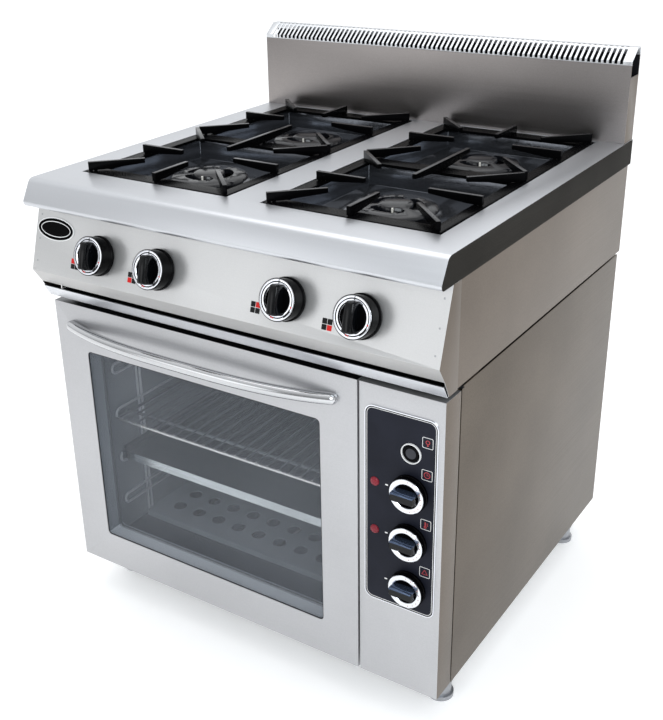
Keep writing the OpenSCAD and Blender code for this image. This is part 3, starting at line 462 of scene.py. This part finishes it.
def add_camera():
    """Stands right of the worktop's right front corner, above and well in front of it."""
    azimuth, elevation, roll = 34.14, 24.09, -1.36
    reach = Vector((0.6044, -1.2051, 0.4848))
    data = bpy.data.cameras.new("camera")
    data.lens = 53.87
    data.sensor_width = 36.0
    data.shift_x = 0.0289
    data.shift_y = -0.0247
    camera = bpy.data.objects.new("camera", data)
    corner = Vector((WORK_HIGH.x, WORK_LOW.y, WORK_HIGH.z))
    camera.matrix_world = (Matrix.Translation(corner + reach)
                           @ Matrix.Rotation(math.radians(azimuth), 4, "Z")
                           @ Matrix.Rotation(math.radians(90 - elevation), 4, "X")
                           @ Matrix.Rotation(math.radians(roll), 4, "Z"))
    bpy.context.scene.collection.objects.link(camera)
    bpy.context.scene.camera = camera


def add_area(name, target, offset, size, power, colour=(1, 1, 1)):
    """A rectangular soft box, offset from the target it is aimed at."""
    data = bpy.data.lights.new(name, "AREA")
    data.shape = "RECTANGLE"
    data.size, data.size_y = size
    data.energy = power
    data.color = colour
    light = bpy.data.objects.new(name, data)
    light.location = target + Vector(offset)
    light.rotation_mode = "QUATERNION"
    light.rotation_quaternion = (-Vector(offset)).to_track_quat("-Z", "Y")
    bpy.context.scene.collection.objects.link(light)


def add_lights():
    """A soft box overhead and a large cool one at the front right."""
    centre = (CAD_BOX[0] + CAD_BOX[1]) / 2
    cool = (0.90, 0.96, 1.0)
    add_area("overhead", centre, offset=(-0.3, 0.2, 2.4), size=(2.6, 2.0), power=18)
    add_area("front_right", centre, offset=(1.7, -2.7, 1.5), size=(1.8, 1.6), power=46, colour=cool)


def towards(nodes, links, direction, axis, at, values):
    """A value that changes smoothly with the cosine between a direction and an axis."""
    cosine = nodes.new("ShaderNodeVectorMath")
    cosine.operation = "DOT_PRODUCT"
    cosine.inputs[1].default_value = Vector(axis).normalized()
    links.new(direction, cosine.inputs[0])
    tone = nodes.new("ShaderNodeMapRange")
    tone.interpolation_type = "SMOOTHSTEP"
    tone.inputs["From Min"].default_value, tone.inputs["From Max"].default_value = at
    tone.inputs["To Min"].default_value, tone.inputs["To Max"].default_value = values
    links.new(cosine.outputs["Value"], tone.inputs["Value"])
    return tone.outputs["Result"]


def add_world():
    """A white room behind the object, darker towards the front, with one soft glow at the front left."""
    world = bpy.data.worlds.new("studio")
    world.use_nodes = True
    nodes, links = world.node_tree.nodes, world.node_tree.links
    direction = nodes.new("ShaderNodeTexCoord").outputs["Generated"]
    room = towards(nodes, links, direction, axis=(0, 0.8, 0.6), at=(-0.85, 0.25), values=(0.34, 1.05))
    glow = towards(nodes, links, direction, axis=(-0.49, -0.86, 0.20), at=(0.945, 0.995), values=(0.0, 1.4))
    total = nodes.new("ShaderNodeMath")
    links.new(room, total.inputs[0])
    links.new(glow, total.inputs[1])
    links.new(total.outputs["Value"], nodes["Background"].inputs["Strength"])
    nodes["Background"].inputs["Color"].default_value = (0.97, 0.985, 1.0, 1.0)
    bpy.context.scene.world = world
    bpy.context.scene.view_settings.view_transform = "Standard"
    bpy.context.scene.view_settings.look = "None"


def add_floor():
    """A plain pale floor, far wider than the view, with a faint glow of its own."""
    half, glow = 12.0, 0.22
    corners = [(-half, -half, 0), (half, -half, 0), (half, half, 0), (-half, half, 0)]
    mesh = bpy.data.meshes.new("floor")
    mesh.from_pydata(corners, [], [(0, 1, 2, 3)])
    white = speckled("floor_white", srgb(248, 248, 248), 0.75, 30, 0.01, 0.1 * MM)
    shader = white.node_tree.nodes["Principled BSDF"]
    shader.inputs["Emission Color"].default_value = (1.0, 1.0, 1.0, 1.0)
    shader.inputs["Emission Strength"].default_value = glow
    mesh.materials.append(white)
    floor = bpy.data.objects.new("floor", mesh)
    bpy.context.scene.collection.objects.link(floor)


# ---- which faces take a second material ----------------------------------------------------------
# UP, SIDEWAYS and HALF_WAY say how nearly a face's normal has to point along an axis, as a cosine.

UP = 0.7
SIDEWAYS = 0.9
HALF_WAY = 0.5
END_FOLD = 8 * MM
RAIL_STRIP = 14 * MM
CAP_FRONT = 5 * MM
FINGER_DEPTH = 6 * MM
TOP_FOLD = 3 * MM
TRAY_LIP = 3 * MM
SHELF_FRONT = 7 * MM


def faces_sideways(centre, normal):
    """The folds at the left and right ends of a sheet, which take a darker steel as painted shade."""
    return abs(normal.x) > SIDEWAYS and abs(centre.x) > FASCIA_HIGH.x - END_FOLD


def leans_down(centre, normal):
    """The fascia's lower strip, which turns back under the knobs and takes a slightly darker steel as painted
    shade.
    """
    return normal.z < -0.15 and normal.y < -0.3


def behind_rail(centre, normal):
    """All of the rail but its bright front strip; these faces take near-black as painted shade in the gap
    under the fascia.
    """
    return centre.y > RAIL_FRONT + RAIL_STRIP or normal.y > 0.3


def on_door_top(centre, normal):
    """The door skin's top fold, in the gap under the rail, which takes a darker steel as painted shade."""
    return normal.z > HALF_WAY and centre.z > DOOR_HIGH.z - TOP_FOLD


def in_flue(centre, normal):
    """Inner faces of the flue's four walls, which take near-black as painted shade."""
    middle = (FLUE_LOW + FLUE_HIGH) / 2
    inward = (middle - centre) * Vector((1, 1, 0))
    return abs(normal.z) < HALF_WAY and inward.dot(normal) > 0 and centre.z > FLUE_LOW.z


def under_cap(centre, normal):
    """The flue cap's underside and the back of its front fold, which take near-black as painted shade."""
    return normal.z < -0.4 or (normal.y > HALF_WAY and centre.y < FLUE_HIGH.y - CAP_FRONT)


def in_window(centre, normal):
    """Inner faces of the tube round the window, which take a darker steel as painted shade."""
    middle = (GLASS_LOW + GLASS_HIGH) / 2
    inward = (middle - centre) * Vector((1, 0, 1))
    within = centre.z > GLASS_LOW.z and centre.x > GLASS_LOW.x
    return abs(normal.y) < HALF_WAY and inward.dot(normal) > 0 and within


def under_window(centre, normal):
    """The sill of the window's tube, which takes a bright steel as painted light."""
    return in_window(centre, normal) and normal.z > HALF_WAY


def on_finger_top(centre, normal):
    """Upper faces of the grates' fingers, but not of their lower frames; they take a lighter enamel as a
    painted highlight.
    """
    return normal.z > UP and centre.z > GRATE_TOP_Z - FINGER_DEPTH


def at_front_of(node):
    """A test for the faces within a few millimetres of a node's front; on the oven shelf these take the
    wire's painted highlight.
    """
    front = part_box(node)[0].y
    return lambda centre, normal: centre.y < front + SHELF_FRONT


def looks_forward(centre, normal):
    """The front of the baking tray's lip, which takes a near-white copy of the tray's metal as a painted
    highlight.
    """
    return normal.y < -UP and centre.y < TRAY_FRONT + TRAY_LIP


def faces_up(centre, normal):
    return normal.z > UP


# ---- sheet metal, burners and oven ---------------------------------------------------------------

SHEET_EDGE = 0.4 * MM
FRONT_EDGE = 0.5 * MM
WORK_EDGE = 0.6 * MM
CAP_EDGE = 0.25 * MM
LINER_EDGE = 0.3 * MM
CAST_EDGE = 0.8 * MM
BURNER_EDGE = 1.2 * MM


def dress_panels():
    """The body's sheets, from the worktop down."""
    ends = (SHADED_SIDE_STEEL, faces_sideways)
    soften("worktop", "range", BRIGHT_STEEL, WORK_EDGE, [(SHADED_FLANGE_STEEL, faces_sideways)])
    soften("fascia", "range", FRONT_STEEL, FRONT_EDGE, [(SHADED_CHAMFER_STEEL, leans_down), ends])
    soften("top_rail", "range", RAIL_STEEL, FRONT_EDGE, [(PAINTED_SHADE_BLACK, behind_rail)])
    soften("upper_casing", "range", SHADED_SIDE_STEEL, SHEET_EDGE)
    soften("side_panel_left", "range", SHADED_PANEL_STEEL, SHEET_EDGE)
    soften("side_panel_right", "range", SHADED_PANEL_STEEL, SHEET_EDGE)
    soften("column_cover", "range", DOOR_STEEL, FRONT_EDGE, [ends])
    soften("door_skin", "oven_door", DOOR_STEEL, FRONT_EDGE, [(SHADED_EDGE_STEEL, on_door_top)])
    soften("flue_duct", "range", FLUE_STEEL, SHEET_EDGE, [ends, (PAINTED_SHADE_BLACK, in_flue)])
    soften("flue_cap", "range", CAP_STEEL, CAP_EDGE, [(PAINTED_SHADE_BLACK, under_cap)])
    for node in ("back_panel", "base_frame", "oven_front_frame"):
        soften(node, "range", ZINC, SHEET_EDGE)
    soften("door_liner", "oven_door", ZINC, LINER_EDGE,
           [(REVEAL_SHADE, in_window), (REVEAL_HIGHLIGHT, under_window)])


def dress_burners():
    """Grates, pans and caps get rounded edges; the parts under them only a material."""
    for side in ("left", "right"):
        soften("grate_" + side, "grate_" + side + "_body", GRATE_BLACK, CAST_EDGE,
               [(GRATE_TOP_HIGHLIGHT, on_finger_top)])
    soften("drip_pans", "range", ENAMEL, CAST_EDGE)
    for number, burner in enumerate(BURNERS, 1):
        soften("burner_cap_%d" % number, "cap_" + burner, BURNER_BLACK, BURNER_EDGE)
    paint(CAST, "burner_heads")
    paint(PILOT, "pilot_burners")
    paint(BRASS, "gas_valves", "burner_pipes")


def dress_inside():
    """Nodes that keep their CAD shape: the oven's inside, the glass, the feet and the fittings."""
    paint_by_face("oven_liner", LINER, [(DARK_LINER, faces_up)])
    paint_by_face("oven_shelf", WIRE_SHADE, [(WIRE_HIGHLIGHT, at_front_of("oven_shelf"))])
    paint_by_face("baking_tray", DARK_TRAY, [(TRAY_HIGHLIGHT, looks_forward)])
    paint(PLATE, "floor_plate")
    paint(WOOL, "oven_insulation")
    paint(GUIDE_WIRE, "rack_guides")
    paint(OXIDE, "heating_elements")
    paint(RUBBER, "door_seal")
    paint(LAMP_GLASS, "oven_light")
    paint(CREAM, "control_units")
    paint(KNOB_BLACK, "cable_entry")
    paint(DOOR_GLASS, "door_glass")
    paint(ZINC, "hinge_brackets", "door_hinge_ears", "gas_manifold")
    paint(ZINC, "gas_spindle_1", "gas_spindle_2", "gas_spindle_3", "gas_spindle_4")
    paint(FOOT_STEEL, "foot_front_left", "foot_front_right", "foot_rear_left", "foot_rear_right")


# ---- parts of a dial -----------------------------------------------------------------------------


def knob_skirt(bm, base, face, r_base, r_face, r_dish, dish):
    """Black body of a knob: a base flange, a straight skirt, a rounded rim and a recessed face."""
    lathe(bm, [
        (0, base), (r_base - 0.8 * MM, base), (r_base, base + 0.8 * MM), (r_base, base + 4 * MM),
        (r_base - 0.8 * MM, base + 5 * MM), (r_face - 0.4 * MM, base + 5.8 * MM),
        (r_face, face - 2.5 * MM), (r_face, face - 1.2 * MM), (r_face - 0.9 * MM, face - 0.4 * MM),
        (r_face - 1.4 * MM, face - 0.6 * MM), (r_dish, face - 0.8 * MM),
        (r_dish - 0.5 * MM, face - dish + 1 * MM), (r_dish - 1.5 * MM, face - dish), (0, face - dish)], 72)


def mark(bm, radius, angle, size, low, high):
    """A small block on a dial, at a clockwise angle from the top; size is its length and width."""
    length, width = size
    part = bmesh.new()
    prism(part, round_box(length, width, 0.2 * min(size), 2), low, high)
    join(bm, part, Matrix.Rotation(math.radians(90 - angle), 4, "Z") @ Matrix.Translation((radius, 0, 0)))


# ---- gas knobs -----------------------------------------------------------------------------------

GAS_R = 34 * MM
GAS_BASE = 5.2 * MM
GAS_FACE = 33 * MM
GAS_TOP = 47 * MM
GAS_TAPER = 1.4 * MM
GAS_DISH_R = 22.4 * MM
GAS_DISH = 7 * MM
GAS_RING = (31.4 * MM, 22.8 * MM)
GAS_RING_DEPTH = 6.8 * MM
GAS_GRIP = (23.5 * MM, 15 * MM)
GAS_PRINT = (GAS_FACE - 0.7 * MM, GAS_FACE + 0.15 * MM)


def gas_frame(burner):
    """A frame on the fascia with its Z out along a gas knob's spindle."""
    joint = JOINTS["gas_turn_" + burner]
    return upright(joint["pos_m"], -Vector(joint["axis"]))


def gas_ring(bm):
    """Two rounded beads with a groove between them and a bright wall down into the face."""
    face = GAS_FACE
    outer, inner = GAS_RING
    groove = (outer + inner) / 2
    lathe(bm, [
        (outer, face - 1.2 * MM), (outer - 0.3 * MM, face - 0.4 * MM), (outer - 1.2 * MM, face),
        (groove + 1.1 * MM, face - 0.1 * MM), (groove + 0.5 * MM, face - 0.9 * MM),
        (groove - 0.5 * MM, face - 0.9 * MM), (groove - 1.1 * MM, face - 0.1 * MM),
        (inner + 1.0 * MM, face - 0.2 * MM), (inner, face - 1.2 * MM),
        (inner - 0.4 * MM, face - GAS_RING_DEPTH), (inner - 1.4 * MM, face - GAS_RING_DEPTH),
        (inner - 1.0 * MM, face - 2.5 * MM)], 96)


def gas_grip(bm):
    """Grip bar along local Y: wide foot, flanks that draw in, chamfered ends and crest."""
    reach, width = GAS_GRIP
    rows = [(GAS_FACE - GAS_DISH, reach, width / 2 + 1.5 * MM),
            (GAS_TOP - 6 * MM, reach, width / 2 + 0.5 * MM),
            (GAS_TOP - 1.2 * MM, reach - 1.2 * MM, width / 2 - 0.6 * MM),
            (GAS_TOP, reach - 2.6 * MM, width / 2 - 2.2 * MM)]
    skin(bm, [[(x, y, z) for x, y in round_box(2 * wide, 2 * long, min(wide * 0.55, 3 * MM), 4)]
              for z, long, wide in rows])


def add_gas_knob(number, burner):
    """Skirt, chrome ring and grip bar of one gas knob."""
    place = gas_frame(burner)
    body = "gas_dial_" + burner
    bm = bmesh.new()
    knob_skirt(bm, GAS_BASE, GAS_FACE, GAS_R, GAS_R - GAS_TAPER, GAS_DISH_R, GAS_DISH)
    skirt = add_piece("gas_knob_%d_skirt" % number, bm, body, KNOB_BLACK, place)
    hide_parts("gas_knob_%d" % number)
    bm = bmesh.new()
    gas_ring(bm)
    add_piece("gas_knob_%d_ring" % number, bm, body, CHROME, place)
    bm = bmesh.new()
    gas_grip(bm)
    add_piece("gas_knob_%d_grip" % number, bm, body, GRIP_BLACK, place)


def add_gas_print(number, burner):
    """Black pointer and low-flame blocks, and red blocks, printed on a gas knob's ring."""
    place = gas_frame(burner)
    body = "gas_dial_" + burner
    scale_r, red_r = 27.6 * MM, 27.4 * MM
    pointer, block, red_block = (6 * MM, 1.3 * MM), (3.2 * MM, 2.4 * MM), (2.6 * MM, 1.6 * MM)
    bm = bmesh.new()
    mark(bm, scale_r, 0, pointer, *GAS_PRINT)
    for k in range(6):
        mark(bm, scale_r, 118 + 5 * k, block, *GAS_PRINT)
    add_piece("gas_knob_%d_marks" % number, bm, body, BLACK_PRINT, place)
    bm = bmesh.new()
    for angle in (104, 186, 193):
        mark(bm, red_r, angle, red_block, *GAS_PRINT)
    add_piece("gas_knob_%d_red" % number, bm, body, RED, place)


def add_burner_icon(number, burner):
    """Four printed squares left of a knob; the red one shows which burner it feeds."""
    place = gas_frame(burner)
    centre_x, centre_y = -58 * MM, -24 * MM
    side, step = 8.4 * MM, 9.2 * MM
    square = round_box(side, side, 0.6 * MM, 2)
    chosen = (burner.endswith("right"), burner.startswith("rear"))
    black, red = bmesh.new(), bmesh.new()
    for right in (False, True):
        for up in (False, True):
            outline = moved(square, centre_x + (right - 0.5) * step, centre_y + (up - 0.5) * step)
            prism(red if (right, up) == chosen else black, outline, -0.1 * MM, 0.15 * MM)
    add_piece("icon_%d_black" % number, black, "range", BLACK_PRINT, place)
    add_piece("icon_%d_red" % number, red, "range", RED, place)


# ---- oven dials ----------------------------------------------------------------------------------

OVEN_R = 31 * MM
OVEN_BASE = 3 * MM
OVEN_FACE = 17 * MM
OVEN_TOP = 29 * MM
OVEN_TAPER = 0.6 * MM
OVEN_DISH_R = 19.5 * MM
OVEN_DISH = 6 * MM
OVEN_RING = (30.3 * MM, 20.2 * MM)
OVEN_RING_DEPTH = 5.9 * MM
OVEN_PRINT = (OVEN_FACE - 0.6 * MM, OVEN_FACE + 0.1 * MM)


def oven_ring(bm):
    """A wide, slightly coned bright band with a wall down into the face."""
    face = OVEN_FACE
    outer, inner = OVEN_RING
    lathe(bm, [
        (outer, face - 2.4 * MM), (outer - 0.5 * MM, face - 0.8 * MM), (outer - 1.7 * MM, face),
        (inner + 1.3 * MM, face - 0.3 * MM), (inner, face - 1.4 * MM),
        (inner - 0.6 * MM, face - OVEN_RING_DEPTH), (inner - 1.4 * MM, face - OVEN_RING_DEPTH),
        (inner - 1.0 * MM, face - 3 * MM)], 96)


def oven_grip(bm):
    """Grip bar across the knob, a little longer towards its pointer end on the left."""
    pointer, tail, dish_end = -23.5 * MM, 18.5 * MM, -20 * MM
    swell = 0.4 * MM
    rows = [(OVEN_FACE - OVEN_DISH, 7.6 * MM, 0.0, dish_end),
            (OVEN_FACE + 3 * MM, 7.2 * MM, 0.2 * MM, pointer),
            (OVEN_TOP - 2 * MM, 6.6 * MM, 0.8 * MM, pointer),
            (OVEN_TOP, 5.2 * MM, 2.4 * MM, pointer)]
    outlines = []
    for z, half, draw, end in rows:
        left, right = end + draw, tail - draw
        upper = [(right, half), (right - 1.5 * MM, half + swell), (left + 2 * MM, half + swell),
                 (left, half - 1.2 * MM)]
        lower = [(x, -y) for x, y in reversed(upper)]
        outlines.append([(x, y, z) for x, y in upper + lower])
    skin(bm, outlines)
    bevel_edges(bm, 0.5 * MM)


def add_oven_knob(name):
    """Skirt, ring, grip bar and printed scale of one oven dial."""
    place = upright(JOINTS[name + "_turn"]["pos_m"], FORWARD)
    body = name + "_dial"
    bm = bmesh.new()
    knob_skirt(bm, OVEN_BASE, OVEN_FACE, OVEN_R, OVEN_R - OVEN_TAPER, OVEN_DISH_R, OVEN_DISH)
    skirt = add_piece(name + "_skirt", bm, body, KNOB_BLACK, place)
    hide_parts(name + "_knob")
    bm = bmesh.new()
    oven_ring(bm)
    add_piece(name + "_ring", bm, body, CHROME, place)
    bm = bmesh.new()
    oven_grip(bm)
    bar = add_piece(name + "_grip", bm, body, GRIP_BLACK, place)
    # The grip's outward faces take the pale painted reflection; the rest stays black.
    bar.data.materials.append(GRIP_REFLECTION)
    for face in bar.data.polygons:
        face.material_index = int(face.normal.z > 0.3)
    scale_r, dash = 25.6 * MM, (1.4 * MM, 0.9 * MM)
    bm = bmesh.new()
    for k in range(9):
        mark(bm, scale_r, 5 + 20 * k, dash, *OVEN_PRINT)
    add_piece(name + "_marks", bm, body, DULL_RED, place)


# ---- control plate, button and lamps -------------------------------------------------------------

INSERT_CORNER = 15 * MM
RIM_IN, GROOVE_IN, LINE_IN = 1.6 * MM, 3.6 * MM, 4.4 * MM
PLATE_TOP = 1.4 * MM
BUTTON_HOLE = 13.9 * MM
SPINDLE_HOLE = 4.5 * MM
PRINT = (1.3 * MM, 1.65 * MM)
FIGURE = (1.3 * MM, 1.6 * MM)


def insert_outline(inset):
    """The control plate's outline, drawn in by an inset."""
    width = INSERT_HIGH.x - INSERT_LOW.x
    height = INSERT_HIGH.z - INSERT_LOW.z
    return round_box(width - 2 * inset, height - 2 * inset, INSERT_CORNER - inset, 10)


def add_insert():
    """Dark control plate, open round the button and the spindles, with a bright, dark and pale border."""
    centre = (INSERT_LOW + INSERT_HIGH) / 2
    place = on_column(centre.x, centre.z)
    holes = [moved(oval(BUTTON_HOLE, BUTTON_HOLE, 48), BUTTON.x - centre.x, BUTTON.z - centre.z)]
    for name in DIALS:
        dial = Vector(JOINTS[name + "_turn"]["pos_m"])
        holes.append(moved(oval(SPINDLE_HOLE, SPINDLE_HOLE, 48), dial.x - centre.x, dial.z - centre.z))
    bm = bmesh.new()
    pierced_plate(bm, insert_outline(1 * MM), holes, 0.1 * MM, PLATE_TOP)
    plate = add_piece("insert_plate", bm, "range", INSERT_BLACK, place)
    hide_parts("control_insert")
    for name, outer, inner, low, high, material, slot in (
            ("insert_rim", 0.0, RIM_IN, 0.0, PLATE_TOP + 0.5 * MM, CHROME, "polished"),
            ("insert_groove", RIM_IN, GROOVE_IN, 0.2 * MM, PLATE_TOP + 0.1 * MM, BLACK_PRINT, "insert"),
            ("insert_line", GROOVE_IN, LINE_IN, 0.2 * MM, PLATE_TOP + 0.2 * MM, PALE_PRINT, "polished")):
        bm = bmesh.new()
        ring_prism(bm, insert_outline(outer), insert_outline(inner), low, high)
        add_piece(name, bm, "range", material, place)


def add_button_bezel():
    """Pale rounded ring on the plate, round the light button."""
    outer, inner, foot, crest = 16.9 * MM, 15.2 * MM, 1.2 * MM, 4.6 * MM
    bm = bmesh.new()
    lathe(bm, [(outer, foot), (outer, crest - 0.8 * MM), (outer - 0.4 * MM, crest),
               (inner + 0.4 * MM, crest), (inner, crest - 0.8 * MM), (inner, foot)], 72)
    add_piece("button_bezel", bm, "range", PALE_PRINT, on_column(BUTTON.x, BUTTON.z))


def add_button():
    """Dark push button with a raised rim and a paler face."""
    place = on_column(BUTTON.x, BUTTON.z)
    radius, well, foot, floor, crest = 13.3 * MM, 9.2 * MM, -2 * MM, 3.5 * MM, 4.4 * MM
    bm = bmesh.new()
    lathe(bm, [(0, foot), (radius, foot), (radius, crest - 0.6 * MM), (radius - 0.7 * MM, crest),
               (well + 0.6 * MM, crest), (well, floor), (0, floor - 0.2 * MM)], 64)
    cap = add_piece("light_button_cap", bm, "light_switch", KNOB_BLACK, place)
    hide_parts("light_button")
    face_r, base = 9 * MM, 3 * MM
    bm = bmesh.new()
    lathe(bm, [(0, base), (face_r, base), (face_r - 0.2 * MM, base + 0.7 * MM),
               (face_r - 1 * MM, base + 0.9 * MM), (0, base + 1 * MM)], 48)
    add_piece("light_button_face", bm, "light_switch", BUTTON_GREY, place)


def add_lamps():
    """Two domed red lenses; the upper one stands for the CAD node that holds both."""
    low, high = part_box("indicator_lamps")
    radius, foot, shoulder, rise = 7.9 * MM, 1.2 * MM, 1.4 * MM, 3.9 * MM
    x = (low.x + high.x) / 2
    turns = [math.radians(angle) for angle in range(0, 91, 15)]
    dome = [(radius * math.cos(turn), shoulder + rise * math.sin(turn)) for turn in turns]
    for number, z in enumerate((high.z - radius, low.z + radius), 1):
        bm = bmesh.new()
        lathe(bm, [(0, foot), (radius, foot)] + dome, 40)
        lens = add_piece("lamp_lens_%d" % number, bm, "range", LENS, on_column(x, z))
        if number == 1:
            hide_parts("indicator_lamps")


# ---- printed ticks and icons ---------------------------------------------------------------------

TICK_LEFT = 42 * MM
ICON_RIGHT = 27 * MM
ICON_OVER_BUTTON = 25 * MM
ICON_OVER_DIAL = 38 * MM
ICON_SIDE = 18 * MM
ICON_LINE = 0.7 * MM


def add_index_ticks():
    """A white tick on the plate, left of each dial."""
    tick = round_box(5 * MM, 2.2 * MM, 0.8 * MM, 3)
    bm = bmesh.new()
    for name in DIALS:
        dial = Vector(JOINTS[name + "_turn"]["pos_m"])
        prism(bm, moved(tick, dial.x - TICK_LEFT, dial.z), *PRINT)
    add_piece("index_ticks", bm, "range", PALE_PRINT, on_column(0, 0))


def add_icons():
    """A pictogram in a square frame above the button and above each dial."""
    dials = [Vector(JOINTS[name + "_turn"]["pos_m"]) for name in DIALS]
    icon_x = dials[0].x + ICON_RIGHT
    heights = [BUTTON.z + ICON_OVER_BUTTON] + [dial.z + ICON_OVER_DIAL for dial in dials]
    inside = ICON_SIDE - 2 * ICON_LINE
    frames, figures = bmesh.new(), bmesh.new()
    for draw, z in zip((bulb, clock, thermometer, flame), heights):
        place = Matrix.Translation((icon_x, z, 0))
        part = bmesh.new()
        ring_prism(part, round_box(ICON_SIDE, ICON_SIDE, 2 * MM, 3),
                   round_box(inside, inside, 1.4 * MM, 3), *PRINT)
        join(frames, part, place)
        part = bmesh.new()
        draw(part)
        join(figures, part, place)
    add_piece("icon_frames", frames, "range", PALE_PRINT, on_column(0, 0))
    add_piece("icon_figures", figures, "range", DULL_RED, on_column(0, 0))


def ring(part, radius, line, sides, x=0.0, y=0.0, start=0.0):
    """A thin ring of an icon, or a triangle when it has three sides."""
    outer, inner = [moved(oval(r, r, sides, start), x, y) for r in (radius, radius - line)]
    ring_prism(part, outer, inner, *FIGURE)


def bar(part, width, height, x, y):
    """A thin bar of an icon."""
    prism(part, moved(round_box(width, height, 0.3 * min(width, height), 2), x, y), *FIGURE)


def bulb(part):
    """A ring over a short cap."""
    ring(part, 3.6 * MM, 1.1 * MM, 24, 0, 1 * MM)
    bar(part, 2.6 * MM, 2.2 * MM, 0, -4.4 * MM)


def clock(part):
    """A ring with two hands."""
    ring(part, 5.4 * MM, 1.0 * MM, 32)
    bar(part, 0.9 * MM, 3.6 * MM, 0, 1.4 * MM)
    bar(part, 2.8 * MM, 0.9 * MM, 1.4 * MM, 0)


def thermometer(part):
    """A stem on a round bulb, with three lines beside it."""
    bar(part, 1.8 * MM, 7 * MM, -1 * MM, 1.4 * MM)
    ring(part, 2.3 * MM, 1.3 * MM, 20, -1 * MM, -4.2 * MM)
    for step in (-1, 1, 3):
        bar(part, 2.2 * MM, 0.8 * MM, 2.6 * MM, step * MM)


def flame(part):
    """A plain triangle with its point up."""
    ring(part, 6.2 * MM, 1.3 * MM, 3, 0, -1 * MM, math.pi / 2)


# ---- door handle and window ----------------------------------------------------------------------


def handle_ring(u, centre, half, radius, bow, back):
    """One cross-section of the handle at u, from -1 at its left tip to 1 at its right tip."""
    sides, thinning = 40, 0.96
    tip = radius / half
    drawn_in = max(0.0, (abs(u) - 1 + tip) / tip)
    r = radius * math.sqrt(1 - thinning * drawn_in ** 2)
    slope = math.atan(3 * bow / half * u * abs(u))
    middle = centre + Vector((half * u, -bow * (1 - abs(u) ** 3), 0))
    points = []
    for k in range(sides):
        out = r * math.cos(math.tau * k / sides)
        up = r * math.sin(math.tau * k / sides)
        point = middle + Vector((out * math.sin(slope), -out * math.cos(slope), up))
        point.y = min(point.y, back)
        points.append(point)
    return points


def add_handle():
    """Smooth bowed tube with rounded tips that meet the door."""
    low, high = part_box("door_handle")
    radius = (high.z - low.z) / 2
    lift = 2 * MM
    bow = high.y - low.y - radius - lift
    half = (high.x - low.x) / 2
    centre = Vector(((low.x + high.x) / 2, high.y - lift, (low.z + high.z) / 2))
    rings, last = 120, 0.998
    spread = [last * math.sin(math.radians(90 * (2 * i / rings - 1))) for i in range(rings + 1)]
    bm = bmesh.new()
    skin(bm, [handle_ring(u, centre, half, radius, bow, high.y) for u in spread])
    piece = add_piece("handle_tube", bm, "oven_door", HANDLE_STEEL)
    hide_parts("door_handle")


def add_window_edge():
    """Dark line where the outer pane meets the door."""
    hidden, line, corner = 20.1 * MM, 1.6 * MM, 8 * MM
    width = GLASS_HIGH.x - GLASS_LOW.x - 2 * hidden
    height = GLASS_HIGH.z - GLASS_LOW.z - 2 * hidden
    centre = (GLASS_LOW + GLASS_HIGH) / 2
    bm = bmesh.new()
    ring_prism(bm, round_box(width, height, corner, 8),
               round_box(width - 2 * line, height - 2 * line, corner - line, 8), -1.45 * MM, -1.1 * MM)
    add_piece("window_edge", bm, "oven_door", SEAL_BLACK,
              upright((centre.x, DOOR_LOW.y, centre.z), FORWARD))


# ---- rivets and badge ----------------------------------------------------------------------------


def add_rivets():
    """Three small rivet heads near each end of the fascia."""
    joint = JOINTS["gas_turn_rear_left"]
    _, y, z = joint["pos_m"]
    end, radius, foot, crest = 10 * MM, 1.6 * MM, -0.4 * MM, 0.7 * MM
    bm = bmesh.new()
    for x in (FASCIA_LOW.x + end, FASCIA_HIGH.x - end):
        place = upright((x, y, z), -Vector(joint["axis"]))
        for up in (-32 * MM, 7 * MM, 49 * MM):
            part = bmesh.new()
            lathe(part, [(0, foot), (radius, foot), (radius - 0.1 * MM, crest - 0.4 * MM),
                         (radius / 2, crest - 0.1 * MM), (0, crest)], 20)
            join(bm, part, place @ Matrix.Translation((0, up, 0)))
    add_piece("fascia_rivets", bm, "range", ZINC)


def add_badge():
    """Plain black oval with a pale rim and one pale inner line."""
    low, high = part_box("badge")
    outward = -Vector(JOINTS["gas_turn_rear_left"]["axis"])
    lip, lift, rim, line = 2.5 * MM, 1 * MM, 1.6 * MM, 1.2 * MM
    lean = outward.cross(Vector((1, 0, 0))).z
    rx = (high.x - low.x) / 2 + lip
    ry = (high.z - low.z) / 2 / lean + lip
    line_x, line_y = rx - 8 * MM, ry - 6.5 * MM
    place = upright((low + high) / 2 - outward * lift, outward)
    bm = bmesh.new()
    prism(bm, oval(rx - 1.2 * MM, ry - 1.2 * MM), 0.0, 1.5 * MM)
    plate = add_piece("badge_plate", bm, "range", KNOB_BLACK, place)
    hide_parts("badge")
    bm = bmesh.new()
    ring_prism(bm, oval(rx, ry), oval(rx - rim, ry - rim), 0.0, 1.9 * MM)
    add_piece("badge_rim", bm, "range", PALE_PRINT, place)
    bm = bmesh.new()
    ring_prism(bm, oval(line_x, line_y), oval(line_x - line, line_y - line), 1.4 * MM, 1.7 * MM)
    add_piece("badge_line", bm, "range", PALE_PRINT, place)


add_camera()
add_world()
add_lights()
add_floor()
dress_panels()
dress_burners()
dress_inside()
for index, burner_name in enumerate(BURNERS, 1):
    add_gas_knob(index, burner_name)
    add_gas_print(index, burner_name)
    add_burner_icon(index, burner_name)
for dial_name in DIALS:
    add_oven_knob(dial_name)
add_insert()
add_button_bezel()
add_button()
add_lamps()
add_index_ticks()
add_icons()
add_handle()
add_window_edge()
add_rivets()
add_badge()
